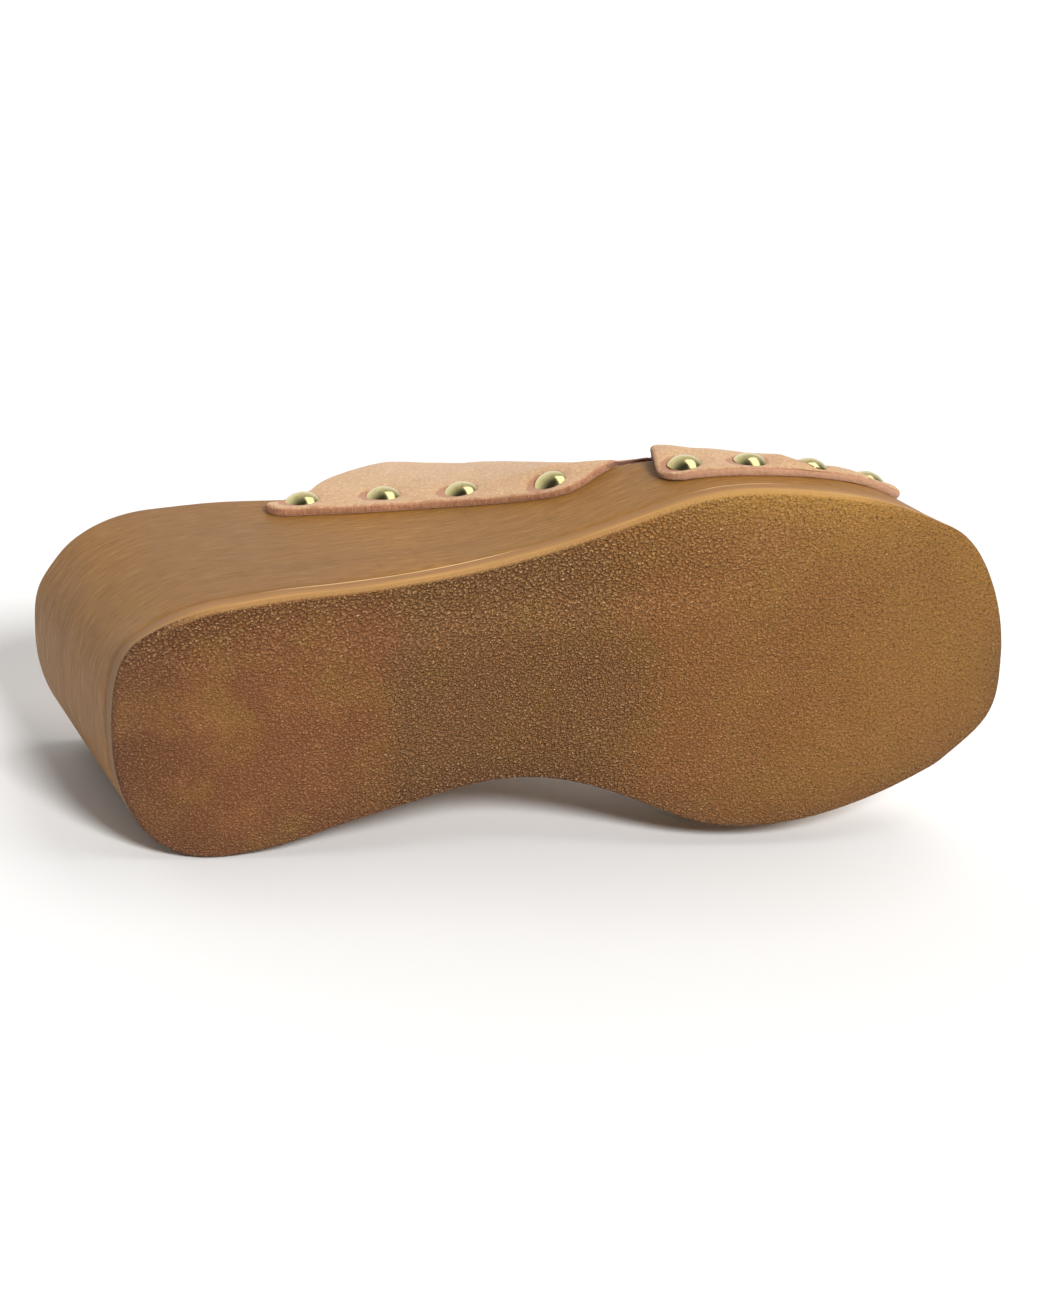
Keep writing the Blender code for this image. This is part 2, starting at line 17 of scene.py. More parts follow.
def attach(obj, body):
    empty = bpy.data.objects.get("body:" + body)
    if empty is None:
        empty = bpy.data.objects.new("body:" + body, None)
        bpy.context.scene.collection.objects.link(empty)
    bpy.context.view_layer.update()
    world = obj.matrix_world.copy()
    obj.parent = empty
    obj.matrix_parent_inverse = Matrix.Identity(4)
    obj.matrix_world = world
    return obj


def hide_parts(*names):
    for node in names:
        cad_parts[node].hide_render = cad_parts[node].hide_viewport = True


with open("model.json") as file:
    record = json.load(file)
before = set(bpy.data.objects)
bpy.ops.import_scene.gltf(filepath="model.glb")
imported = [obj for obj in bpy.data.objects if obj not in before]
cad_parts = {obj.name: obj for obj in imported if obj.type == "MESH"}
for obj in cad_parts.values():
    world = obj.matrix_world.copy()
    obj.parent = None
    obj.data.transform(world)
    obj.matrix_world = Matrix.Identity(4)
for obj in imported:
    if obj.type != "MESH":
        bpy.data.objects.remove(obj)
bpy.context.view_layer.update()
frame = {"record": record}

# ---------------------------------------------------------------- the shoe's sizes, as in the solids
SOLE_LENGTH = 256.0
HEEL_CAP, HEEL_SQUARENESS = 30.0, 2.48
TOE_CAP, TOE_SQUARENESS = 22.0, 2.6
HEEL_SKEW, HEEL_SKEW_LENGTH = -4.0, 14.0
TOE_SKEW, TOE_SKEW_LENGTH = 9.5, 18.0
HEEL_OVERHANG, HEEL_INNER_DRAFT, HEEL_LENGTH = 6.0, 3.6, 60.0
TOE_DRAFT, TOE_DRAFT_FROM = 0.26, 212.0
HEEL_CORNER_TREAD, HEEL_CORNER_RIM = 2.0, 1.6
ARCH_FROM, ARCH_TO, ARCH_RISE = 70.0, 165.0, 4.0
SPRING_FROM, SPRING_RISE = 188.0, 9.6
OUTSOLE_THICKNESS = 6.3
HEEL_DISH, BALL_DISH = 4.2, 2.2
INSOLE_THICKNESS, INSOLE_INSET = 1.8, 5.0
INSOLE_HEEL_GAP, INSOLE_TOE_GAP = 8.0, 19.0
SHOULDER_INSET = 0.65
STRAP_THICKNESS, STRAP_CORNER, STRAP_FUSE = 2.2, 5.5, 1.0
STUD_RADIUS, STUD_HEIGHT, STUD_ABOVE_EDGE = 5.0, 2.4, 5.9
GAP = 0.3
WALL_SHARE = 0.16
CROSS_FROM, CROSS_TO = 176.0, 192.0

Section = namedtuple("Section", "x lateral medial rim shoulder low crown fullness lean")
LAST = [
    Section(0.0, 35.0, 35.4, 75.0, 2.0, 60.5, 70.0, 2.2, 0.05),
    Section(30.0, 35.3, 35.7, 74.6, 2.0, 58.5, 70.0, 2.2, 0.05),
    Section(45.0, 36.4, 34.3, 72.5, 2.0, 57.0, 70.0, 2.2, 0.05),
    Section(60.0, 36.7, 30.7, 69.4, 2.0, 55.3, 69.0, 2.2, 0.05),
    Section(80.0, 37.4, 26.6, 64.4, 2.0, 51.0, 68.0, 2.2, 0.08),
    Section(100.0, 38.3, 24.3, 58.4, 2.0, 47.3, 66.0, 2.2, 0.13),
    Section(120.0, 41.3, 25.8, 51.0, 2.0, 38.9, 62.0, 2.2, 0.22),
    Section(140.0, 47.1, 32.2, 42.4, 2.0, 26.6, 56.0, 2.2, 0.46),
    Section(150.0, 50.5, 36.8, 37.3, 2.0, 20.0, 52.8, 2.2, 0.62),
    Section(160.0, 53.1, 41.4, 32.2, 2.2, 14.2, 49.5, 2.1, 0.42),
    Section(180.0, 53.4, 45.8, 26.0, 4.5, 12.1, 43.5, 2.1, 0.34),
    Section(200.0, 50.1, 44.8, 26.6, 13.0, 13.6, 37.5, 2.1, 0.36),
    Section(220.0, 43.5, 40.6, 29.0, 15.0, 16.6, 32.0, 2.1, 0.32),
    Section(240.0, 33.8, 34.4, 31.8, 15.5, 21.0, 27.0, 2.1, 0.36),
    Section(256.0, 28.0, 28.3, 33.8, 15.0, 21.0, 24.0, 2.1, 0.36),
]
StrapFold = namedtuple("StrapFold", "girth rear front")
REAR_STRAP = [
    StrapFold(-1.00, 55.4, 131.8),
    StrapFold(-0.95, 56.0, 136.6),
    StrapFold(-0.92, 59.0, 139.8),
    StrapFold(-0.89, 63.0, 143.2),
    StrapFold(-0.84, 70.0, 148.8),
    StrapFold(-0.80, 74.2, 154.5),
    StrapFold(-0.74, 81.5, 160.0),
    StrapFold(-0.62, 94.0, 165.0),
    StrapFold(-0.30, 118.0, 171.0),
    StrapFold(0.00, 127.0, 174.0),
]
FRONT_STRAP = [
    StrapFold(-1.00, 153.5, 227.0),
    StrapFold(-0.84, 157.0, 223.5),
    StrapFold(-0.70, 162.5, 219.0),
    StrapFold(-0.45, 163.5, 212.0),
    StrapFold(0.00, 161.0, 206.0),
]
REAR_STUDS_X = (66.5, 88.5, 108.8, 130.4)
FRONT_STUDS_X = (161.8, 180.0, 197.9, 217.0)
STUD_ASKEW = {"rear": (0.0, 0.03, 0.02, 0.0), "front": (0.15, 0.12, 0.1, 0.1)}  # how far each tack leans to the toe
SNUG = 0.06  # how near the worn suede lies to the wood
STUD_SUNK = {"rear": (0.7, 0.7, 0.7, 0.7), "front": (0.7, 0.7, 1.5, 1.3)}  # how deep the tacks have pulled into the suede
STUD_RAISED = {"rear": (1.0, 2.0, 1.4, 1.0), "front": (0.6, 0.0, -0.9, 0.4)}  # driven a little farther from the edge, or nearer


# ---------------------------------------------------------------- curves of the last
def spline(xs, ys):
    """Natural cubic spline through the points."""
    xs, ys = np.array(xs, float), np.array(ys, float)
    h, n = np.diff(xs), len(xs)
    a, r = np.eye(n), np.zeros(n)
    for i in range(1, n - 1):
        a[i, i - 1 : i + 2] = h[i - 1], 2 * (h[i - 1] + h[i]), h[i]
        r[i] = 6 * ((ys[i + 1] - ys[i]) / h[i] - (ys[i] - ys[i - 1]) / h[i - 1])
    bend = np.linalg.solve(a, r)

    def at(x):
        x = np.asarray(x, float)
        i = np.clip(np.searchsorted(xs, x) - 1, 0, n - 2)
        p, q = (xs[i + 1] - x) / h[i], (x - xs[i]) / h[i]
        return p * ys[i] + q * ys[i + 1] + ((p**3 - p) * bend[i] + (q**3 - q) * bend[i + 1]) * h[i] ** 2 / 6

    return at


def monotone(xs, ys):
    """Cubic through the points that turns only where they do."""
    xs, ys = np.array(xs, float), np.array(ys, float)
    h = np.diff(xs)
    rate = np.diff(ys) / h
    inner = np.where(rate[:-1] * rate[1:] > 0, 2 * rate[:-1] * rate[1:] / np.where(rate[:-1] + rate[1:] == 0, 1, rate[:-1] + rate[1:]), 0.0)
    slopes = np.concatenate([rate[:1], inner, rate[-1:]])

    def at(x):
        x = np.asarray(x, float)
        i = np.clip(np.searchsorted(xs, x) - 1, 0, len(xs) - 2)
        t = (x - xs[i]) / h[i]
        return (
            (1 + 2 * t) * (1 - t) ** 2 * ys[i] + t * (1 - t) ** 2 * h[i] * slopes[i]
            + t * t * (3 - 2 * t) * ys[i + 1] + t * t * (t - 1) * h[i] * slopes[i + 1]
        )

    return at


def smooth(t):
    t = np.clip(t, 0.0, 1.0)
    return t * t * (3 - 2 * t)


def column(name, through):
    return through([row.x for row in LAST], [getattr(row, name) for row in LAST])


lateral, medial, rim, crown = (column(n, spline) for n in ("lateral", "medial", "rim", "crown"))
shoulder, low, fullness, lean = (column(n, monotone) for n in ("shoulder", "low", "fullness", "lean"))


def end_rounding(x):
    heel = np.clip(1 - np.clip(1 - x / HEEL_CAP, 0, 1) ** 2, 0, 1) ** (1 / HEEL_SQUARENESS)
    toe = np.clip(1 - np.clip(1 - (SOLE_LENGTH - x) / TOE_CAP, 0, 1) ** 2, 0, 1) ** (1 / TOE_SQUARENESS)
    return heel * toe


def skew(x):
    heel, toe = 1 - x / HEEL_SKEW_LENGTH, 1 - (SOLE_LENGTH - x) / TOE_SKEW_LENGTH
    return HEEL_SKEW * np.clip(heel, 0, None) ** 2 + TOE_SKEW * np.clip(toe, 0, None) ** 2


def tread_height(x):
    arch = np.sin(np.pi * np.clip((x - ARCH_FROM) / (ARCH_TO - ARCH_FROM), 0, 1)) ** 2
    spring = np.clip((x - SPRING_FROM) / (SOLE_LENGTH - SPRING_FROM), 0, None) ** 2
    return ARCH_RISE * arch + SPRING_RISE * spring


def toe_draft(x, z):
    rise = (z - tread_height(x)) / (rim(x) - tread_height(x))
    return TOE_DRAFT * np.clip(rise, 0, None) * smooth((x - TOE_DRAFT_FROM) / (SOLE_LENGTH - TOE_DRAFT_FROM))


def raked(p):
    """Points of the upright outline, moved as the walls of heel and toe lean."""
    x, y, z = p[..., 0], p[..., 1], p[..., 2]
    along = np.clip(x, 0, SOLE_LENGTH)
    share = z / rim(0.0) * smooth(1 - along / HEEL_LENGTH)
    inwards = np.clip(y - skew(along), 0, None) / medial(along)
    tip = np.clip(1 - (SOLE_LENGTH - along) / TOE_CAP, 0, None)
    draft = toe_draft(along, z)
    # the heel's outer corner is squarer at the tread than at the rim
    tread_corner, rim_corner = (np.exp(-(((along - place) / wide) ** 2)) for place, wide in ((6, 10), (2, 6)))
    square = HEEL_CORNER_TREAD * tread_corner * smooth(1 - z / 22) - HEEL_CORNER_RIM * rim_corner * smooth((z - 34) / 34)
    square = square * smooth((skew(along) - y - 6) / 20)
    return np.stack(
        [
            x - HEEL_OVERHANG * share - draft * medial(along) * tip - 0.6 * square,
            y - HEEL_INNER_DRAFT * share * inwards - draft * (y - skew(along)) - 0.8 * square,
            z,
        ],
        axis=-1,
    )


def side_y(x, side):
    return skew(x) + side * (lateral(x) if side < 0 else medial(x)) * end_rounding(x)


def side_slope(x, side):
    return (side_y(x + 0.2, side) - side_y(x - 0.2, side)) / 0.4


def wall_y(x, side, clear, z):
    stand = side * clear * np.sqrt(1 + side_slope(x, side) ** 2)
    return skew(x) + (side_y(x, side) - skew(x)) * (1 - toe_draft(x, z)) + stand


def footbed_dish(x, across):
    depth = HEEL_DISH + (BALL_DISH - HEEL_DISH) * smooth((x - 70) / 90)
    return depth * np.clip(1 - across * across, 0, 1) ** 1.2


def footbed(x, y):
    """Height of the wedge's top at a point of the upright outline."""
    along = np.clip(x, 1.0, SOLE_LENGTH - 1.0)
    outer, inner = (side_y(along, side) - side * SHOULDER_INSET * shoulder(along) for side in (-1, 1))
    across = np.clip((2 * y - outer - inner) / np.maximum(1.0, inner - outer), -1, 1)
    return rim(along) - footbed_dish(along, across)


# ---------------------------------------------------------------- loops and grids
def edge_loop(along, across):
    """Closed loop of the sole's edge, evenly spaced on its four sides: outer side, toe, inner side, heel."""
    t = np.linspace(0, 1, 900)
    xs = SOLE_LENGTH * (1 - np.cos(np.pi * t)) / 2
    outer = np.stack([xs, side_y(xs, -1)], -1)
    inner = np.stack([xs, side_y(xs, 1)], -1)
    ring = np.concatenate([outer, inner[::-1][1:-1]])
    step = np.linalg.norm(np.roll(ring, -1, 0) - ring, axis=1)
    s = np.concatenate([[0.0], np.cumsum(step)])
    closed = np.concatenate([ring, ring[:1]])
    corner_x = (9.0, SOLE_LENGTH - 6.0)
    a = s[np.argmin(np.abs(outer[:, 0] - corner_x[0]))]
    b = s[np.argmin(np.abs(outer[:, 0] - corner_x[1]))]
    back = inner[::-1][1:-1]
    c = s[len(outer) + np.argmin(np.abs(back[:, 0] - corner_x[1]))]
    d = s[len(outer) + np.argmin(np.abs(back[:, 0] - corner_x[0]))]
    total = s[-1]
    stops = np.concatenate(
        [
            np.linspace(a, b, along + 1)[:-1],
            np.linspace(b, c, across + 1)[:-1],
            np.linspace(c, d, along + 1)[:-1],
            np.linspace(d, a + total, across + 1)[:-1],
        ]
    )
    at = np.mod(stops, total)
    loop = np.stack([np.interp(at, s, closed[:, k]) for k in (0, 1)], -1)
    tangent = np.roll(loop, -1, 0) - np.roll(loop, 1, 0)
    tangent /= np.linalg.norm(tangent, axis=1, keepdims=True)
    return loop, np.stack([tangent[:, 1], -tangent[:, 0]], -1), stops - stops[0], total


def patch(loop, along, across):
    """Grid that fills a loop of four sides."""
    n = len(loop)
    outer = loop[: along + 1]
    toe = loop[along : along + across + 1]
    inner = loop[along + across : 2 * along + across + 1][::-1]
    heel = np.concatenate([loop[2 * along + across :], loop[:1]])[::-1]
    u = np.linspace(0, 1, along + 1)[:, None, None]
    v = np.linspace(0, 1, across + 1)[None, :, None]
    grid = (1 - v) * outer[:, None] + v * inner[:, None] + (1 - u) * heel[None] + u * toe[None]
    grid -= (1 - u) * (1 - v) * outer[0] + u * (1 - v) * outer[-1] + (1 - u) * v * inner[0] + u * v * inner[-1]
    return grid


class Shape:
    """Points, faces, texture coordinates and material numbers of one mesh, in millimetres upright."""

    def __init__(self, *marks):
        self.names = marks
        self.points, self.marks, self.faces, self.coords, self.slots, self.count = [], [], [], [], [], 0

    def add(self, points, *marks):
        """Adds points, each with its values for the shape's marks, and returns their numbers."""
        points = np.asarray(points, float).reshape(-1, 3)
        first = self.count
        self.points.append(points)
        self.marks.append([np.broadcast_to(np.asarray(m, float).reshape(-1), len(points)) for m in marks])
        self.count += len(points)
        return np.arange(first, self.count)

    def polygons(self, faces, coords, slot):
        self.faces.append(np.asarray(faces))
        self.coords.append(np.asarray(coords, float))
        self.slots.append(np.full(len(faces), slot))

    def wall(self, lower, upper, s, total, low_v, high_v, slot):
        """Band between two closed loops of vertices; s runs along them, v across."""
        i = np.arange(len(lower))
        j = (i + 1) % len(lower)
        s2 = np.where(s[j] < s[i], s[j] + total, s[j])
        faces = np.stack([lower[i], lower[j], upper[j], upper[i]], -1)
        corners = ((s[i], low_v[i]), (s2, low_v[j]), (s2, high_v[j]), (s[i], high_v[i]))
        self.polygons(faces, np.stack([np.stack(c, -1) for c in corners], axis=1), slot)

    def flat_wall(self, lower, upper, low_plan, high_plan, slot):
        """Band between two closed loops, with a plan position for each of their points as coordinates."""
        i = np.arange(len(lower))
        j = (i + 1) % len(lower)
        faces = np.stack([lower[i], lower[j], upper[j], upper[i]], -1)
        self.polygons(faces, np.stack([low_plan[i], low_plan[j], high_plan[j], high_plan[i]], axis=1), slot)

    def grid(self, index, uv, slot, flip=False):
        """Faces of a rectangular grid of vertex numbers."""
        first, last = slice(None, -1), slice(1, None)
        corners = [(first, first), (last, first), (last, last), (first, last)]
        if flip:
            corners.reverse()
        faces = np.stack([index[c].reshape(-1) for c in corners], -1)
        self.polygons(faces, np.stack([uv[c].reshape(-1, 2) for c in corners], axis=1), slot)

    def cap(self, ring, along, across, moved, slot, flip, marks=lambda p: ()):
        """Closes a loop of vertices with a grid. moved(points) places the inner points."""
        grid = patch(np.concatenate(self.points)[ring], along, across)
        inner = moved(grid[1:-1, 1:-1])
        index = np.empty((along + 1, across + 1), int)
        index[:, 0] = ring[: along + 1]
        index[along, :] = ring[along : along + across + 1]
        index[:, across] = ring[along + across : 2 * along + across + 1][::-1]
        index[0, :] = np.concatenate([ring[2 * along + across :], ring[:1]])[::-1]
        index[1:-1, 1:-1] = self.add(inner, *marks(inner)).reshape(along - 1, across - 1)
        self.grid(index, np.concatenate(self.points)[index][..., :2], slot, flip)

    def lid(self, ring, slot):
        """Closes a hidden loop of vertices with one face."""
        self.polygons(ring[None], np.concatenate(self.points)[ring][None, :, :2], slot)

    def object(self, name, materials):
        points = np.concatenate(self.points)
        world = (points / 1000) @ np.array(LAY.to_3x3()).T + np.array(LAY.translation)
        mesh = bpy.data.meshes.new(name)
        mesh.from_pydata(world.tolist(), [], [face for block in self.faces for face in block.tolist()])
        coords = np.concatenate([block.reshape(-1) for block in self.coords]) / 1000
        mesh.uv_layers.new(name="surface").data.foreach_set("uv", coords.astype(np.float32))
        mesh.polygons.foreach_set("material_index", np.concatenate(self.slots).astype(np.int32))
        for k, mark in enumerate(self.names):
            values = np.concatenate([m[k] for m in self.marks]).astype(np.float32)
            mesh.attributes.new(mark, "FLOAT", "POINT").data.foreach_set("value", values)
        for material in materials:
            mesh.materials.append(material)
        solid = bmesh.new()
        solid.from_mesh(mesh)
        bmesh.ops.recalc_face_normals(solid, faces=solid.faces[:])
        solid.to_mesh(mesh)
        solid.free()
        mesh.shade_smooth()
        obj = bpy.data.objects.new(name, mesh)
        bpy.context.scene.collection.objects.link(obj)
        return obj


def cells(p, pitch, seed, stretch=(1.0, 1.0)):
    """Height of a field of rounded grains at points p (x, y), from 0 between grains to 1 on top."""
    q = p / pitch / np.array(stretch)
    base = np.floor(q).astype(int)
    near = np.full(len(q), 9.0)
    second = np.full(len(q), 9.0)
    for dx in (-1, 0, 1):
        for dy in (-1, 0, 1):
            cell = base + (dx, dy)
            h = np.sin(cell[:, 0] * 127.1 + cell[:, 1] * 311.7 + seed) * 43758.5453
            k = np.sin(cell[:, 0] * 269.5 + cell[:, 1] * 183.3 + seed) * 24634.6345
            spot = cell + 0.5 + 0.8 * (np.stack([h - np.floor(h), k - np.floor(k)], -1) - 0.5)
            d = np.linalg.norm(q - spot, axis=1)
            closer = d < near
            second = np.where(closer, near, np.minimum(second, d))
            near = np.where(closer, d, near)
    return np.clip((second - near) * 1.6, 0, 1)


def ripple(p, wave, seed):
    """Slow random undulation between -1 and 1 at points p (n, 2 or 3)."""
    made = np.random.default_rng(seed)
    total = np.zeros(len(p))
    for _ in range(7):
        way = made.normal(size=p.shape[1])
        way /= np.linalg.norm(way)
        total += np.sin(p @ way * 2 * np.pi / (wave * made.uniform(0.7, 1.5)) + made.uniform(0, 6.28))
    return total / 4


# ---------------------------------------------------------------- where the shoe lies
HEEL_TREAD, BALL_TREAD = Vector((35.0, -2.0, 0.0)), Vector((177.0, -4.0, 0.0))


def lying():
    """Matrix from the upright shoe, in metres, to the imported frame, from the record's two tread faces."""
    mounts = {m["name"]: m for m in frame["record"]["mounts"]}
    heel, ball = (Vector(mounts[n]["pos_m"]) for n in ("heel_tread", "ball_tread"))
    up = -Vector(mounts["heel_tread"]["axis"]).normalized()

    def axes(ahead, above):
        ahead = (ahead - above * ahead.dot(above)).normalized()
        return Matrix((ahead, above.cross(ahead), above)).transposed()

    turn = axes(ball - heel, up) @ axes(BALL_TREAD - HEEL_TREAD, Vector((0, 0, 1))).transposed()
    return Matrix.Translation(heel - turn @ (HEEL_TREAD / 1000)) @ turn.to_4x4()


LAY = lying()


# ---------------------------------------------------------------- materials
class Nodes:
    """Short way to write a node material."""

    def __init__(self, name):
        self.material = bpy.data.materials.new(name)
        self.material.use_nodes = True
        self.tree = self.material.node_tree
        self.shader = self.tree.nodes["Principled BSDF"]

    def add(self, kind, settings=None, **inputs):
        node = self.tree.nodes.new(kind)
        for key, value in (settings or {}).items():
            setattr(node, key, value)
        for key, value in inputs.items():
            self.set(node, key.replace("_", " "), value)
        return node

    def set(self, node, key, value):
        socket = node.inputs[int(key)] if key.isdigit() else node.inputs[key]
        if isinstance(value, bpy.types.NodeSocket):
            self.tree.links.new(value, socket)
        else:
            socket.default_value = value

    def surface(self):
        return self.add("ShaderNodeUVMap", {"uv_map": "surface"}).outputs["UV"]

    def place(self):
        return self.add("ShaderNodeTexCoord").outputs["Object"]

    def scaled(self, vector, scale):
        node = self.add("ShaderNodeMapping", Vector=vector)
        node.inputs["Scale"].default_value = scale
        return node.outputs["Vector"]

    def noise(self, vector, scale, detail=3.0, roughness=0.5, distortion=0.0):
        return self.add("ShaderNodeTexNoise", Vector=vector, Scale=scale, Detail=detail, Roughness=roughness, Distortion=distortion).outputs["Fac"]

    def span(self, value, low, high, to_low=0.0, to_high=1.0, kind="LINEAR"):
        node = self.add("ShaderNodeMapRange", {"interpolation_type": kind}, Value=value)
        for key, number in (("From Min", low), ("From Max", high), ("To Min", to_low), ("To Max", to_high)):
            node.inputs[key].default_value = number
        return node.outputs["Result"]

    def math(self, kind, a, b=0.0):
        node = self.add("ShaderNodeMath", {"operation": kind})
        self.set(node, "0", a)
        self.set(node, "1", b)
        return node.outputs["Value"]

    def ramp(self, value, stops):
        node = self.add("ShaderNodeValToRGB", Fac=value)
        elements = node.color_ramp.elements
        while len(elements) < len(stops):
            elements.new(0.5)
        for element, (place, colour) in zip(elements, stops):
            element.position = place
            element.color = (*colour, 1.0)
        return node.outputs["Color"]

    def mix(self, factor, a, b, kind="MIX"):
        node = self.add("ShaderNodeMix", {"data_type": "RGBA", "blend_type": kind})
        sockets = {s.identifier: s for s in node.inputs}
        for key, value in (("Factor_Float", factor), ("A_Color", a), ("B_Color", b)):
            if isinstance(value, bpy.types.NodeSocket):
                self.tree.links.new(value, sockets[key])
            else:
                sockets[key].default_value = value if isinstance(value, float) else (*value, 1.0)
        return {s.identifier: s for s in node.outputs}["Result_Color"]

    def blend(self, factor, a, b):
        node = self.add("ShaderNodeMix", {"data_type": "FLOAT"})
        sockets = {s.identifier: s for s in node.inputs}
        for key, value in (("Factor_Float", factor), ("A_Float", a), ("B_Float", b)):
            self.tree.links.new(value, sockets[key])
        return {s.identifier: s for s in node.outputs}["Result_Float"]

    def bump(self, height, strength, distance, normal=None):
        node = self.add("ShaderNodeBump", Height=height, Strength=strength, Distance=distance)
        if normal is not None:
            self.set(node, "Normal", normal)
        return node.outputs["Normal"]

    def done(self, **inputs):
        for key, value in inputs.items():
            self.set(self.shader, key.replace("_", " "), value)
        return self.material


def srgb(r, g, b):
    """Linear colour of display values 0 to 255."""
    return tuple(((c / 255 + 0.055) / 1.055) ** 2.4 if c > 10.3 else c / 255 / 12.92 for c in (r, g, b))


def wood(name, reach):
    """Stained wood with fine streaks along the surface's first coordinate."""
    m = Nodes(name)
    uv = m.surface()
    drift = m.noise(m.scaled(uv, (11, 50, 1)), 1.0, 2.0)
    wave = m.add("ShaderNodeVectorMath", {"operation": "MULTIPLY_ADD"})
    m.set(wave, "0", m.add("ShaderNodeCombineXYZ", Y=drift).outputs["Vector"])
    wave.inputs[1].default_value = (0, 0.006, 0)
    m.set(wave, "2", uv)
    bent = wave.outputs["Vector"]
    broad = m.noise(m.scaled(bent, (8, 150, 1)), 1.0, 3.0, 0.55)
    fine = m.noise(m.scaled(bent, (130, 1250, 1)), 1.0, 4.0, 0.65)
    pores = m.noise(m.scaled(bent, (260, 2300, 1)), 1.0, 2.0, 0.5)
    cloud = m.noise(m.place(), 26.0, 3.0, 0.55)
    base = m.ramp(broad, [(0.3, srgb(137, 94, 42)), (0.5, srgb(150, 105, 47)), (0.7, srgb(139, 95, 42))])
    streak = m.mix(m.span(fine, 0.4, 0.7, 0.0, 0.6), base, srgb(112, 74, 38))
    flecked = m.mix(m.span(fine, 0.44, 0.3, 0.0, 0.25), streak, srgb(176, 134, 80))
    pored = m.mix(m.span(pores, 0.58, 0.72, 0.0, 0.55), flecked, srgb(98, 64, 38))
    clouded = m.mix(m.span(cloud, 0.42, 0.7, 0.0, 0.42), pored, srgb(122, 94, 56))
    # painted shade: the wood is darkened where the side turns round to the heel's back
    along = m.add("ShaderNodeSeparateXYZ", Vector=m.place()).outputs["X"]
    corner_shade = m.math("MULTIPLY", m.span(along, -0.122, -0.102, kind="SMOOTHSTEP"), m.span(along, -0.088, -0.045, 1.0, 0.0, kind="SMOOTHSTEP"))
    colour = m.mix(m.math("MULTIPLY", corner_shade, 0.42), clouded, srgb(118, 85, 53))
    height = m.math("SUBTRACT", m.math("MULTIPLY", fine, 0.6), m.math("MULTIPLY", pores, 0.5))
    return m.done(
        Base_Color=colour,
        Roughness=m.span(fine, 0.3, 0.7, 0.46, 0.62),
        Specular_IOR_Level=0.2,
        Normal=m.bump(height, 0.3, reach),
    )


